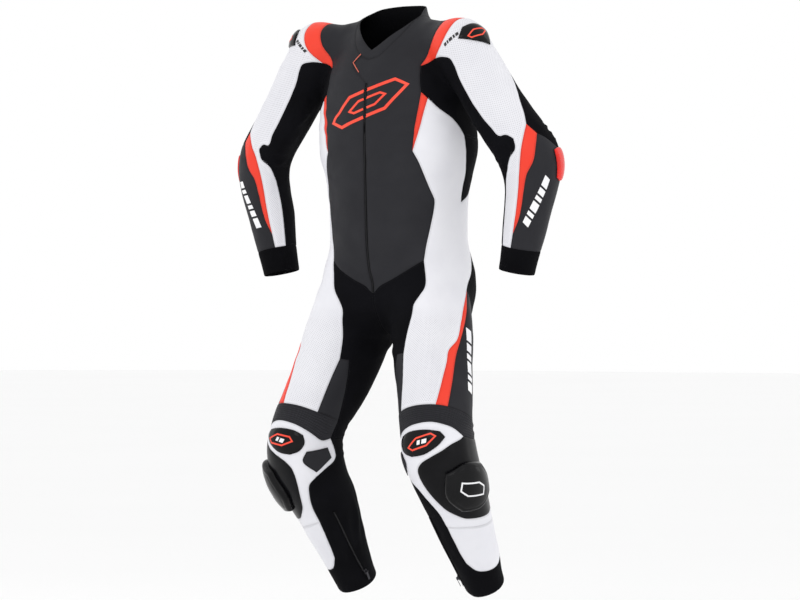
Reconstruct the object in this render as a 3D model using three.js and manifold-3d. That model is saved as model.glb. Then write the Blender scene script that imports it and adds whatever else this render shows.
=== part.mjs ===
// A one-piece leather race suit in the shape that a rider fills, with nobody in it.
// Millimetres. +Z is up, the suit faces -Y, and its left side is +X.
// The origin is the middle of the neck opening's base, level with the tops of the shoulders.
import * as THREE from "three";
import Module from "manifold-3d";

const wasm = await Module();
wasm.setup();
const { Manifold } = wasm;

const THICKNESS = 2.5; // every sewn panel
const SEAM_GAP = 0.15; // how far a panel stops short of the middle of its seam
const STEP = 32; // panel mesh
const FINE_STEP = 13; // pieces that lie on a panel
const LIFT = 1; // from a panel to the piece that lies on it
const SHOULDER_LIFT = 1.8; // the same on the round of the shoulder
const FOLD_OUT = 30; // how far the torso, shoulders and arms blend into each other
const HIP_BLEND = 40;

// The filled-out form.
// Torso rings: height, reach to the front, to the side and to the back, and the place of the widest point.
const TORSO = {
  z: [60, 30, 5, -20, -60, -110, -170, -230, -292, -346, -400, -450, -500, -560, -600],
  front: [48, 52, 62, 74, 94, 112, 122, 125, 126, 125, 123, 121, 118, 108, 94],
  side: [62, 64, 70, 84, 122, 158, 176, 186, 187, 172, 160, 157, 158, 158, 150],
  back: [66, 70, 76, 84, 100, 118, 130, 140, 146, 146, 142, 140, 140, 136, 126],
  mid: [4, 4, 2, 0, 0, 0, 2, 6, 10, 12, 12, 12, 10, 6, 0],
};
const TORSO_POWER = 2.3;
const TORSO_TOP = 60;
const TORSO_TOP_DOME = 10;
const TORSO_BOTTOM = -600;
const TORSO_BOTTOM_DOME = 110;
const TORSO_AXIS_Y = 12;

// Limb rings: distance down the limb, then the reach to each side of it and what is added between the sides.
const SLEEVE = {
  joints: [[192, -26, -62], [371, 2, -322], [320, 6, -558]],
  bend: 80,
  turn: 0,
  end: 600,
  topRing: 0,
  topDome: 58,
  down: [-40, 0, 60, 120, 180, 250, 290, 330, 380, 430, 480, 530, 590],
  front: [60, 62, 64, 65, 65, 63, 61, 58, 55, 51, 47, 43, 40],
  outer: [58, 60, 60, 58, 57, 60, 68, 68, 59, 54, 49, 44, 42],
  back: [60, 64, 64, 62, 60, 59, 60, 60, 58, 54, 49, 44, 42],
  inner: [60, 62, 62, 62, 62, 60, 58, 56, 53, 51, 46, 41, 39],
  frontOuter: [0, 0, 0, 0, 0, 0, 0, 0, 0, 0, 0, 0, 0],
  frontInner: [0, 0, 4, 8, 12, 12, 10, 8, 4, 0, 0, 0, 0],
  backOuter: [0, 0, 0, 0, 0, 2, 6, 6, 2, 0, 0, 0, 0],
  backInner: [0, 0, 0, 0, -2, -6, -8, -6, -2, 0, 0, 0, 0],
};
const LEG = {
  joints: [[98, 6, -560], [187, -116, -962], [172, 109, -1284]],
  bend: 105,
  turn: 17,
  end: 860,
  topRing: 40,
  topDome: 80,
  down: [-40, 0, 80, 160, 240, 320, 380, 430, 480, 540, 600, 660, 720, 780, 820],
  front: [78, 82, 86, 85, 82, 81, 84, 90, 86, 74, 66, 60, 54, 49, 47],
  outer: [68, 70, 80, 86, 84, 82, 80, 80, 80, 77, 71, 64, 56, 48, 46],
  back: [104, 108, 108, 102, 94, 84, 76, 75, 77, 79, 76, 67, 57, 50, 48],
  inner: [90, 94, 98, 98, 92, 84, 79, 78, 75, 71, 66, 60, 52, 46, 44],
  frontOuter: [-12, -14, -14, -14, -14, -8, -2, 3, 4, 2, 0, 0, 0, 0, 0],
  frontInner: [0, 0, 0, 0, 0, 2, 6, 8, 4, -2, -2, -2, -2, -3, -3],
  backOuter: [0, 0, -4, -6, -4, -2, 0, 1, 2, 2, 2, 1, 0, 0, 0],
  backInner: [0, 6, 14, 18, 18, 12, 8, 7, 7, 5, 4, 2, 1, 0, 0],
};
const SHOULDER = { start: [40, 0, -38], end: [186, -24, -70], startRadius: 45, endRadius: 54 };
const SEAT = { centre: [80, 52, -600], radii: [80, 88, 100] };

const add = (a, b, k = 1) => [a[0] + b[0] * k, a[1] + b[1] * k, a[2] + b[2] * k];
const sub = (a, b) => add(a, b, -1);
const dot = (a, b) => a[0] * b[0] + a[1] * b[1] + a[2] * b[2];
const cross = (a, b) => [
  a[1] * b[2] - a[2] * b[1],
  a[2] * b[0] - a[0] * b[2],
  a[0] * b[1] - a[1] * b[0],
];
const size = (a) => Math.hypot(a[0], a[1], a[2]);
const unit = (a) => add([0, 0, 0], a, 1 / (size(a) || 1));
const mix = (a, b, t) => a + (b - a) * t;
const clamp = (v, lo, hi) => Math.min(Math.max(v, lo), hi);
const RAD = Math.PI / 180;

// A smooth curve through a table's values, level at both ends.
function curve(xs, ys, x) {
  const last = xs.length - 1;
  const rising = xs[last] > xs[0];
  const at = (i) => (rising ? xs[i] : -xs[i]);
  const v = clamp(rising ? x : -x, at(0), at(last));
  let i = 0;
  while (i < last - 1 && v >= at(i + 1)) i += 1;
  const slope = (k) =>
    k === 0 || k === last ? 0 : (ys[k + 1] - ys[k - 1]) / (at(k + 1) - at(k - 1));
  const h = at(i + 1) - at(i);
  const t = (v - at(i)) / h;
  return (
    (1 + 2 * t) * (1 - t) ** 2 * ys[i] +
    t * (1 - t) ** 2 * h * slope(i) +
    t * t * (3 - 2 * t) * ys[i + 1] +
    t * t * (t - 1) * h * slope(i + 1)
  );
}

function blend(a, b, k) {
  const h = clamp(0.5 + (0.5 * (b - a)) / k, 0, 1);
  return b * (1 - h) + a * h - k * h * (1 - h);
}

function torsoField(p) {
  const [x, y, z] = p;
  const mid = curve(TORSO.z, TORSO.mid, z);
  const side = curve(TORSO.z, TORSO.side, z);
  const dy = y - mid;
  const depth = dy < 0
    ? curve(TORSO.z, TORSO.front, z) + mid
    : curve(TORSO.z, TORSO.back, z) - mid;
  const over = Math.max(z - TORSO_TOP, 0) + Math.max(TORSO_BOTTOM - z, 0);
  const r = Math.hypot(x, dy) + 1e-9;
  const share = (Math.abs(x) / side) ** TORSO_POWER + (Math.abs(dy) / depth) ** TORSO_POWER;
  const rho = share ** (1 / TORSO_POWER);
  if (over === 0) return r - r / Math.max(rho, 1e-6);
  const dome = z > 0 ? TORSO_TOP_DOME : TORSO_BOTTOM_DOME;
  const all = Math.hypot(r, over);
  return all - all / Math.max(Math.hypot(rho, over / dome), 1e-6);
}

// A limb: an axis of two straight parts with a rounded bend, and rings across it.
class Limb {
  constructor(sizes) {
    this.sizes = sizes;
    const [a, b, c] = sizes.joints;
    this.a = a;
    this.b = b;
    this.upper = size(sub(b, a));
    this.t1 = unit(sub(b, a));
    this.t2 = unit(sub(c, b));
    this.ref = [Math.sin(sizes.turn * RAD), -Math.cos(sizes.turn * RAD), 0];
  }
  axis(d) {
    const e = d - this.upper;
    const r = this.sizes.bend;
    if (Math.abs(e) >= r) return add(this.b, e < 0 ? this.t1 : this.t2, e);
    const u = (e + r) / (2 * r);
    const p0 = add(this.b, this.t1, -r);
    const p2 = add(this.b, this.t2, r);
    return add(add(add([0, 0, 0], p0, (1 - u) ** 2), this.b, 2 * u * (1 - u)), p2, u * u);
  }
  frame(d) {
    const r = this.sizes.bend;
    const u = clamp((d - this.upper + r) / (2 * r), 0, 1);
    const t = unit(add(add([0, 0, 0], this.t1, 1 - u), this.t2, u));
    const front = unit(add(this.ref, t, -dot(t, this.ref)));
    return { t, front, outer: cross(front, t) };
  }
  // Where a point is: degrees around the limb from its front to its outer side, mm down it, mm from its axis.
  place(p) {
    const e1 = Math.min(dot(sub(p, this.a), this.t1), this.upper);
    const e2 = Math.max(dot(sub(p, this.b), this.t2), 0);
    const far1 = size(sub(p, add(this.a, this.t1, e1)));
    const far2 = size(sub(p, add(this.b, this.t2, e2)));
    let d = far1 < far2 ? e1 : this.upper + e2;
    for (let i = 0; i < 5; i += 1) {
      d += clamp(dot(sub(p, this.axis(d)), this.frame(d).t), -60, 60) * 0.8;
    }
    const f = this.frame(d);
    const q = sub(p, this.axis(d));
    const forward = dot(q, f.front);
    const outward = dot(q, f.outer);
    return [Math.atan2(outward, forward) / RAD, d, Math.hypot(outward, forward)];
  }
  at(angle, d, r) {
    const f = this.frame(d);
    return add(add(this.axis(d), f.front, r * Math.cos(angle * RAD)), f.outer, r * Math.sin(angle * RAD));
  }
  ring(angle, d) {
    const s = this.sizes;
    const c = Math.cos(angle * RAD);
    const n = Math.sin(angle * RAD);
    const alongFront = curve(s.down, c > 0 ? s.front : s.back, d);
    const alongSide = curve(s.down, n > 0 ? s.outer : s.inner, d);
    const corner = c > 0 ? (n > 0 ? s.frontOuter : s.frontInner) : n > 0 ? s.backOuter : s.backInner;
    return 1 / Math.hypot(c / alongFront, n / alongSide) + curve(s.down, corner, d) * (2 * c * n) ** 2;
  }
  field(p) {
    const s = this.sizes;
    const [angle, d, r] = this.place(p);
    const base = this.ring(angle, Math.max(d, s.topRing));
    const over = Math.max(s.topRing - d, 0);
    if (over === 0) return Math.max(r - base, d - s.end);
    const all = Math.hypot(r, over);
    return all - all / Math.max(Math.hypot(r / base, over / s.topDome), 1e-6);
  }
}
const sleeve = new Limb(SLEEVE);
const leg = new Limb(LEG);

function shoulderField(p) {
  const along = sub(SHOULDER.end, SHOULDER.start);
  const t = clamp(dot(sub(p, SHOULDER.start), along) / dot(along, along), 0, 1);
  return size(sub(p, add(SHOULDER.start, along, t))) - mix(SHOULDER.startRadius, SHOULDER.endRadius, t);
}

function seatField(p) {
  const q = sub(p, SEAT.centre);
  const k0 = Math.hypot(q[0] / SEAT.radii[0], q[1] / SEAT.radii[1], q[2] / SEAT.radii[2]);
  const k1 = Math.hypot(q[0] / SEAT.radii[0] ** 2, q[1] / SEAT.radii[1] ** 2, q[2] / SEAT.radii[2] ** 2);
  return (k0 * (k0 - 1)) / Math.max(k1, 1e-9);
}

// The whole form, both sides alike: below zero inside, about mm outside.
function body(point) {
  const p = [Math.abs(point[0]), point[1], point[2]];
  let f = p[2] > -800 ? torsoField(p) : 1e3;
  if (p[2] > -300) f = blend(f, shoulderField(p), FOLD_OUT);
  if (p[0] > 50 && p[2] > -680) f = blend(f, sleeve.field(p), FOLD_OUT);
  if (p[2] < -420) f = blend(f, blend(leg.field(p), seatField(p), HIP_BLEND), HIP_BLEND);
  return f;
}

function gradient(p) {
  const h = 0.5;
  return [0, 1, 2].map((i) => {
    const a = [...p];
    const b = [...p];
    a[i] += h;
    b[i] -= h;
    return (body(a) - body(b)) / (2 * h);
  });
}

// The nearest place on the form. A point of the middle plane stays in it.
function settle(p) {
  let q = p;
  for (let i = 0; i < 6; i += 1) {
    const f = body(q);
    if (Math.abs(f) < 1e-4) break;
    const g = gradient(q);
    if (p[0] === 0) g[0] = 0;
    q = add(q, g, (-clamp(f, -25, 25)) / Math.max(dot(g, g), 0.05));
  }
  return q;
}

function outward(p) {
  const g = gradient(p);
  if (Math.abs(p[0]) < 1e-9) g[0] = 0;
  return unit(g);
}

// The first place where a straight line enters or leaves the form.
function cast(from, direction, reach) {
  const started = body(from) < 0;
  let t = 0;
  while (t < reach && body(add(from, direction, t)) < 0 === started) t += 4;
  let lo = t - 4;
  for (let i = 0; i < 14; i += 1) {
    const m = (lo + t) / 2;
    if (body(add(from, direction, m)) < 0 === started) lo = m;
    else t = m;
  }
  return add(from, direction, t);
}

// Legs and arms are turned a little to the suit's left in the photo, and so are their seams:
// degrees by mm down.
const LEG_TWIST = {
  down: [0, 100, 200, 280, 345, 400, 440, 520, 600],
  degrees: [7, 16, 18, 12, 7, 2, 2, 9, 13],
};
const SLEEVE_TWIST = { down: [0, 200, 300], degrees: [3, 4, 15] };
const HIP_TWIST = { z: [-300, -500], degrees: [0, 7.5] };

const facing = (angle) => 0.5 + 0.5 * Math.cos(angle * RAD); // 1 in front, 0 behind

// Ways to name a place on the form, for the left side. side is 1 on the left and -1 on the right.
const locate = {
  torso(angle, z, side) {
    const turned = angle + side * curve(HIP_TWIST.z, HIP_TWIST.degrees, z) * Math.sin(angle * RAD) ** 2;
    const direction = [Math.sin(turned * RAD), -Math.cos(turned * RAD), 0];
    if (angle % 180 === 0) direction[0] = 0;
    return cast([0, TORSO_AXIS_Y, z], direction, 300);
  },
  leg(angle, down, side) {
    const a = angle + side * curve(LEG_TWIST.down, LEG_TWIST.degrees, down) * facing(angle);
    return cast(leg.at(a, down, 0), unit(sub(leg.at(a, down, 10), leg.at(a, down, 0))), 300);
  },
  sleeve(angle, down, side) {
    const a = angle + side * curve(SLEEVE_TWIST.down, SLEEVE_TWIST.degrees, down) * facing(angle);
    return cast(sleeve.at(a, down, 0), unit(sub(sleeve.at(a, down, 10), sleeve.at(a, down, 0))), 200);
  },
  crotch: (angle) => cast([0, TORSO_AXIS_Y, -560], [0, -Math.cos(angle * RAD), -Math.sin(angle * RAD)], 300),
  front: (x, z) => cast([x, -260, z], [0, 1, 0], 300),
  back: (x, z) => cast([x, 260, z], [0, -1, 0], 300),
  top: (x, y) => cast([x, y, 90], [0, 0, -1], 250),
  armpit: (x, y) => cast([x, y, -260], [0, 0, 1], 200),
};

// Corners, where seams meet.
const ZIP_HALF = 3;
const CORNERS = {
  neckFront: ["torso", 0, -71],
  neckBack: ["torso", 180, 35],
  collarFront: ["torso", 0, -92],
  collarBack: ["torso", 180, 2],
  collarSide: ["top", 79, 4],
  tabTop: ["front", 25, -85],
  zipTop: ["torso", 0, -146],
  zipTopSide: ["front", ZIP_HALF, -146],
  zipBottom: ["torso", 0, -616],
  zipBottomSide: ["front", ZIP_HALF, -616],
  vSide: ["torso", 50, -542],
  chestLow: ["torso", 44.5, -299],
  chestHigh: ["torso", 51.5, -168],
  sideHigh: ["torso", 56.5, -178],
  shoulderInner: ["top", 158, 6],
  stripeTip: ["front", 120, -108],
  stripeFoot: ["sleeve", -46, 1],
  stripeInnerBack: ["back", 150, -24],
  stripeOuterBack: ["back", 186, -48],
  armBackHigh: ["back", 184, -78],
  armBackLow: ["back", 172, -134],
  underArmFront: ["torso", 85, -262],
  underArmBack: ["torso", 122, -250],
  armpitMid: ["armpit", 190, -4],
  meshFront: ["torso", 91, -411],
  meshBack: ["torso", 130, -375],
  waistSide: ["torso", 126, -478],
  waistBack: ["torso", 180, -470],
  hipTip: ["leg", 80, 62],
  patchFront: ["leg", -51, 218],
  patchBack: ["leg", -66, 213],
  ribPatchFront: ["leg", -55, 344],
  ribInner: ["leg", -99, 352],
  ribStripeFront: ["leg", 10, 344],
  ribStripeBack: ["leg", 31, 347],
  ribOuter: ["leg", 100, 372],
  kneeInner: ["leg", -94, 397],
  frameTip: ["leg", 58, 407],
  kneeOuter: ["leg", 100, 420],
  kneeBack: ["leg", -140, 394],
  seatInner: ["leg", -140, 112],
  crotchBack: ["crotch", 102],
  innerThigh: ["leg", -140, 213],
  frameInner: ["leg", -60, 482],
  slideInner: ["leg", -28, 470],
  slideLow: ["leg", 0, 562],
  slideBack: ["leg", 105, 616],
  shinInner: ["leg", -26, 594],
  shinBack: ["leg", 105, 642],
  shinLowInner: ["leg", -17, 704],
  shinLowBack: ["leg", 100, 745],
  hemInner: ["leg", -17, 806],
  hemBack: ["leg", 100, 806],
  elbowKink: ["sleeve", 3, 262],
  redTop: ["sleeve", 46, 246],
  elbowFront: ["sleeve", 55, 270],
  elbowBack: ["sleeve", -170, 300],
  redEnd: ["sleeve", -12, 482],
  wristInner: ["sleeve", -50, 513],
  wristOuter: ["sleeve", -13, 513],
  wristBack: ["sleeve", -170, 513],
  cuffInner: ["sleeve", -50, 568],
  cuffOuter: ["sleeve", -13, 568],
  cuffBack: ["sleeve", -170, 568],
};

// Seams: the two corners, then the places between them, all on one of the ways to name a place.
const SEAMS = {
  neckEdge: ["neckFront", "neckBack", "torso",
    [10, -58], [25, -37], [44, -15], [68, 6], [100, 24], [140, 33]],
  neckV: ["neckFront", "collarFront", "torso"],
  neckRear: ["neckBack", "collarBack", "torso"],
  collarTab: ["collarFront", "tabTop", "torso"],
  collarEdge: ["tabTop", "collarSide", "front", [46, -62], [63, -37], ["top", 76, -36]],
  collarRear: ["collarSide", "collarBack", "top", [70, 44], [40, 74]],
  shoulderSeam: ["collarSide", "shoulderInner", "top", [118, 8]],
  stripeFront: ["shoulderInner", "stripeTip", "front",
    ["top", 160, -40], [158, -28], [148, -56], [131, -84], [124, -98]],
  stripeRear: ["shoulderInner", "stripeInnerBack", "top", [156, 24]],
  stripeEnd: ["stripeInnerBack", "stripeOuterBack", "back"],
  stripeOuter: ["stripeOuterBack", "stripeFoot", "top",
    [197, 18], [201, -15], [200, -50], ["front", 195, -34], ["front", 180, -66]],
  stripeBase: ["stripeFoot", "stripeTip", "sleeve"],
  armholeFront: ["stripeTip", "chestHigh", "torso", [51, -142]],
  chestTop: ["chestHigh", "sideHigh", "torso"],
  chestFront: ["chestHigh", "chestLow", "torso", [48.8, -206], [46.3, -243]],
  chestSide: ["sideHigh", "chestLow", "torso", [52.6, -215], [49.4, -251]],
  chestChord: ["zipTopSide", "chestHigh", "torso", [18, -152], [36, -160]],
  centreHigh: ["collarFront", "zipTop", "torso"],
  tabEdge: ["tabTop", "zipTop", "torso", [20, -102], [7, -132]],
  zipTopStep: ["zipTop", "zipTopSide", "front"],
  zipLine: ["zipTop", "zipBottom", "torso"],
  centreLow: ["zipTopSide", "zipBottomSide", "front", [ZIP_HALF, -300], [ZIP_HALF, -450]],
  zipBottomStep: ["zipBottom", "zipBottomSide", "front"],
  hipV: ["zipBottomSide", "vSide", "torso", [12, -598], [23, -587], [36, -568]],
  backCentre: ["collarBack", "waistBack", "torso", [180, -110], [180, -230], [180, -350]],
  frontEdge: ["chestLow", "vSide", "torso",
    [48.5, -319], [53, -350], [57.6, -384], [60.6, -405], [60.8, -412], [59.8, -428], [56, -468],
    [52.8, -505]],
  armholeSide: ["sideHigh", "underArmFront", "torso", [62, -199], [73, -223], [80, -243]],
  armholeUnder: ["underArmFront", "underArmBack", "torso", [104, -270]],
  armholeRear: ["underArmBack", "armBackLow", "back", [160, -205]],
  armholeHigh: ["armBackLow", "armBackHigh", "back", [179, -106]],
  armholeTop: ["armBackHigh", "stripeOuterBack", "back"],
  armpitFront: ["stripeTip", "armpitMid", "armpit", ["front", 164, -139], [186, -28]],
  armpitRear: ["armpitMid", "armBackLow", "back", [179, -153]],
  meshFrontEdge: ["underArmFront", "meshFront", "torso", [89, -307], [93, -342], [92, -377]],
  meshLow: ["meshFront", "meshBack", "torso", [112, -388]],
  meshRear: ["underArmBack", "meshBack", "torso", [127, -320]],
  sideRear: ["meshBack", "waistSide", "torso", [129, -430]],
  waist: ["waistSide", "waistBack", "torso", [150, -474]],
  sideLow: ["waistSide", "hipTip", "torso", [116, -505], [103, -536], [93, -575]],
  hipLine: ["vSide", "hipTip", "leg", [25, 22], [52, 42]],
  sideSeam: ["meshFront", "hipTip", "torso", [89, -449], [87, -496], [88, -560]],
  whiteInner: ["vSide", "patchFront", "leg",
    [-7, 63], [-11, 77], [-21, 95], [-30, 112], [-34, 135], [-43, 172]],
  patchTop: ["patchFront", "patchBack", "leg"],
  patchSide: ["patchFront", "ribPatchFront", "leg", [-52, 260], [-54, 306]],
  patchRear: ["patchBack", "ribInner", "leg", [-78, 253], [-89, 294], [-96, 329]],
  crotchFront: ["zipBottom", "crotchBack", "crotch", [50], [78]],
  crotchRear: ["crotchBack", "waistBack", "crotch", [128], [150], [172], [190]],
  crotchSeam: ["crotchBack", "seatInner", "leg"],
  thighHigh: ["seatInner", "innerThigh", "leg"],
  thighLow: ["innerThigh", "kneeBack", "leg", [-140, 300]],
  innerChord: ["patchBack", "innerThigh", "leg", [-100, 213]],
  seatLow: ["hipTip", "seatInner", "leg", [110, 92], [150, 122], [180, 135]],
  redFront: ["hipTip", "ribStripeFront", "leg",
    [62, 109], [52, 149], [44, 190], [28, 217], [25, 243], [18, 294]],
  redBack: ["hipTip", "ribStripeBack", "leg",
    [70, 110], [61, 145], [51, 187], [44, 225], [41, 268], [38, 300]],
  ribTopPatch: ["ribInner", "ribPatchFront", "leg", [-76, 345]],
  ribTopWhite: ["ribPatchFront", "ribStripeFront", "leg", [-25, 342]],
  ribTopRed: ["ribStripeFront", "ribStripeBack", "leg"],
  ribTopOuter: ["ribStripeBack", "ribOuter", "leg", [58, 355], [79, 363]],
  ribSideInner: ["ribInner", "kneeInner", "leg"],
  ribSideOuter: ["ribOuter", "kneeOuter", "leg"],
  ribLow: ["kneeInner", "frameTip", "leg",
    [-77, 402], [-56, 388], [-32, 377], [-10, 374], [6, 375], [22, 380], [39, 388]],
  ribLowOuter: ["frameTip", "kneeOuter", "leg", [80, 415]],
  kneeRearOuter: ["kneeOuter", "kneeBack", "leg", [130, 402], [180, 390]],
  kneeRearInner: ["kneeBack", "kneeInner", "leg", [-118, 396]],
  frameEdge: ["kneeInner", "frameInner", "leg", [-105, 428], [-107, 450], [-100, 462], [-82, 471]],
  frameCut: ["frameInner", "slideInner", "leg"],
  slideTop: ["frameTip", "slideInner", "leg",
    [50, 412], [33, 418], [18, 426], [0, 434], [-17, 443], [-26, 455]],
  slideFront: ["slideInner", "slideLow", "leg", [-26, 490], [-20, 515], [-10, 545]],
  slideBottom: ["slideLow", "slideBack", "leg", [14, 580], [30, 590], [55, 603], [81, 612]],
  slideRear: ["kneeOuter", "slideBack", "leg", [104, 520]],
  shinEdgeHigh: ["frameInner", "shinInner", "leg", [-45, 494], [-36, 519], [-28, 552]],
  frameStep: ["shinInner", "slideLow", "leg"],
  frameBack: ["slideBack", "shinBack", "leg"],
  shinSeam: ["shinInner", "shinBack", "leg", [5, 603], [40, 620], [75, 634]],
  shinEdge: ["shinInner", "shinLowInner", "leg", [-24, 636], [-21, 676]],
  shinLow: ["shinLowInner", "shinLowBack", "leg", [0, 730], [20, 740], [40, 745], [70, 747]],
  shinRear: ["shinBack", "shinLowBack", "leg", [106, 700]],
  hemDropInner: ["shinLowInner", "hemInner", "leg"],
  hemDropBack: ["shinLowBack", "hemBack", "leg"],
  hemFront: ["hemInner", "hemBack", "leg", [40, 806]],
  hemRear: ["hemBack", "hemInner", "leg", [160, 806], [220, 806], [280, 806]],
  whiteHigh: ["stripeFoot", "elbowKink", "sleeve",
    [-28, 10], [-12, 27], [-12, 45], [-18, 75], [-21, 120], [-21, 180], [-19, 212], [-19.5, 231],
    [-17, 239], [-9, 243], [-4, 247]],
  whiteLow: ["elbowKink", "wristInner", "sleeve",
    [-3, 281], [-9, 289], [-21, 297], [-27, 305], [-36, 328], [-46, 360], [-52, 395], [-54, 440]],
  whiteRear: ["armBackHigh", "redTop", "sleeve", [124, 108], [97, 153], [77, 185], [57, 228]],
  elbowChord: ["elbowKink", "redTop", "sleeve"],
  redInner: ["redTop", "redEnd", "sleeve",
    [24, 266], [6, 291], [-7, 330], [-12, 370], [-11, 418], [-11, 455]],
  redShort: ["redTop", "elbowFront", "sleeve"],
  redOuter: ["elbowFront", "redEnd", "sleeve", [40, 290], [26, 320], [8, 347], [2, 381], [2, 418], [-1, 450]],
  redDrop: ["redEnd", "wristOuter", "sleeve"],
  elbowSeam: ["elbowFront", "elbowBack", "sleeve", [100, 300], [150, 305]],
  sleeveRearHigh: ["armBackLow", "elbowBack", "sleeve", [-170, 160], [-170, 230]],
  sleeveRearLow: ["elbowBack", "wristBack", "sleeve", [-170, 400]],
  wristFront: ["wristInner", "wristOuter", "sleeve"],
  wristSide: ["wristOuter", "wristBack", "sleeve", [40, 513], [100, 513], [150, 513]],
  wristRear: ["wristBack", "wristInner", "sleeve", [-130, 513], [-90, 513]],
  cuffFront: ["cuffInner", "cuffOuter", "sleeve"],
  cuffSide: ["cuffOuter", "cuffBack", "sleeve", [40, 568], [100, 568], [150, 568]],
  cuffRear: ["cuffBack", "cuffInner", "sleeve", [-130, 568], [-90, 568]],
  cuffDrop: ["wristBack", "cuffBack", "sleeve"],
};

// Corners and seams of the pieces that lie on the panels.
const TOP_CORNERS = {
  insertTopInner: ["leg", -44, 393],
  insertTopOuter: ["leg", 18, 393],
  insertSide: ["leg", 25, 404],
  insertLow: ["leg", -28, 430],
  patchHigh: ["leg", -51, 424],
  patchRear: ["leg", -88, 419],
  patchCorner: ["leg", -96, 447],
  patchLow: ["leg", -62, 471],
  domeTopInner: ["leg", 13, 466],
  domeTopOuter: ["leg", 78, 472],
  domeLowOuter: ["leg", 80, 551],
  domeLowInner: ["leg", 13, 551],
  shoulderTop: ["sleeve", 46, -16],
  shoulderFront: ["sleeve", 25, 3],
  shoulderLow: ["sleeve", 88, 44],
  shoulderRear: ["sleeve", 112, 8],
  elbowHighFront: ["sleeve", 82, 306],
  elbowHighBack: ["sleeve", 126, 308],
  elbowLowBack: ["sleeve", 122, 354],
  elbowLowFront: ["sleeve", 86, 354],
  calfHighRear: ["leg", -69, 580],
  calfHighFront: ["leg", -60, 580],
  calfLowRear: ["leg", -90, 792],
  calfLowFront: ["leg", -80, 792],
};
const TOP_SEAMS = {
  insertTop: ["insertTopInner", "insertTopOuter", "leg", [-30, 387], [-5, 387]],
  insertOuter: ["insertTopOuter", "insertSide", "leg"],
  insertBottom: ["insertSide", "insertLow", "leg", [14, 416], [-8, 428]],
  insertInner: ["insertLow", "insertTopInner", "leg", [-42, 422], [-48, 407]],
  sidePatchTop: ["patchHigh", "patchRear", "leg"],
  sidePatchRear: ["patchRear", "patchCorner", "leg"],
  sidePatchLow: ["patchCorner", "patchLow", "leg"],
  sidePatchFront: ["patchLow", "patchHigh", "leg", [-45, 442]],
  domeTop: ["domeTopInner", "domeTopOuter", "leg", [46, 457]],
  domeOuter: ["domeTopOuter", "domeLowOuter", "leg", [90, 511]],
  domeBottom: ["domeLowOuter", "domeLowInner", "leg", [47, 566]],
  domeInner: ["domeLowInner", "domeTopInner", "leg", [1, 508]],
  shoulderEdgeFront: ["shoulderTop", "shoulderFront", "sleeve"],
  shoulderEdgeLow: ["shoulderFront", "shoulderLow", "sleeve", [50, 22]],
  shoulderEdgeRear: ["shoulderLow", "shoulderRear", "sleeve"],
  shoulderEdgeTop: ["shoulderRear", "shoulderTop", "sleeve", [80, -14]],
  elbowTop: ["elbowHighFront", "elbowHighBack", "sleeve", [104, 302]],
  elbowRear: ["elbowHighBack", "elbowLowBack", "sleeve"],
  elbowLow: ["elbowLowBack", "elbowLowFront", "sleeve", [104, 360]],
  elbowFrontEdge: ["elbowLowFront", "elbowHighFront", "sleeve"],
  calfTop: ["calfHighRear", "calfHighFront", "leg"],
  calfFront: ["calfHighFront", "calfLowFront", "leg", [-62, 612], [-65, 678], [-73, 751]],
  calfLow: ["calfLowFront", "calfLowRear", "leg"],
  calfRear: ["calfLowRear", "calfHighRear", "leg", [-82, 751], [-74, 678], [-71, 612]],
};

// Seams and panels as meshes.
function place(spec, side) {
  const p = locate[spec[0]](spec[1], spec[2] ?? side, side);
  if (Math.abs(p[0]) < 1e-6) p[0] = 0;
  return settle(p);
}

// All seams of one side, as rows of points on the form that both neighbours share.
function stitchNet(side, corners, seams, step) {
  const spots = {};
  for (const [name, spec] of Object.entries(corners)) spots[name] = place(spec, side);
  const rows = {};
  for (const [name, [from, to, way, ...between]] of Object.entries(seams)) {
    const guides = between.map((v) => place(typeof v[0] === "string" ? v : [way, ...v], side));
    const all = [spots[from], ...guides, spots[to]].map((p) => new THREE.Vector3(...p));
    const path = new THREE.CatmullRomCurve3(all, false, "centripetal");
    const middle = all.every((p) => p.x === 0);
    const count = Math.max(1, Math.round(path.getLength() / step));
    const points = path.getSpacedPoints(count).map((p) => (middle ? [0, p.y, p.z] : [p.x, p.y, p.z]));
    rows[name] = points.map((p, i) => (i === 0 ? spots[from] : i === count ? spots[to] : settle(p)));
    rows[name].ends = [from, to];
  }
  return rows;
}

// Joins the seams of a loop end to end, each turned to follow the one before it.
// Returns the four sides' points.
function walk(rows, sides) {
  const loop = sides.flat().map((name) => rows[name]);
  const first = loop[0].ends;
  const second = loop[1].ends;
  let at = second.includes(first[1]) ? first[0] : first[1];
  return sides.map((names) => {
    const points = [];
    for (const name of names) {
      const row = rows[name];
      if (!row.ends.includes(at)) throw new Error(name + " doesn't follow at " + at);
      const turned = row.ends[0] === at ? [...row] : [...row].reverse();
      at = row.ends[0] === at ? row.ends[1] : row.ends[0];
      points.push(...(points.length ? turned.slice(1) : turned));
    }
    return points;
  });
}

const charts = {
  flat: { to: (p) => [...p], from: (q) => q },
  torso: {
    to: (p) => [
      Math.atan2(p[0], TORSO_AXIS_Y - p[1]) / RAD,
      p[2],
      Math.hypot(p[0], p[1] - TORSO_AXIS_Y),
    ],
    from: (q) => [q[2] * Math.sin(q[0] * RAD), TORSO_AXIS_Y - q[2] * Math.cos(q[0] * RAD), q[1]],
  },
  leg: { to: (p) => leg.place(p), from: (q) => leg.at(...q) },
  sleeve: { to: (p) => sleeve.place(p), from: (q) => sleeve.at(...q) },
};

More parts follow.
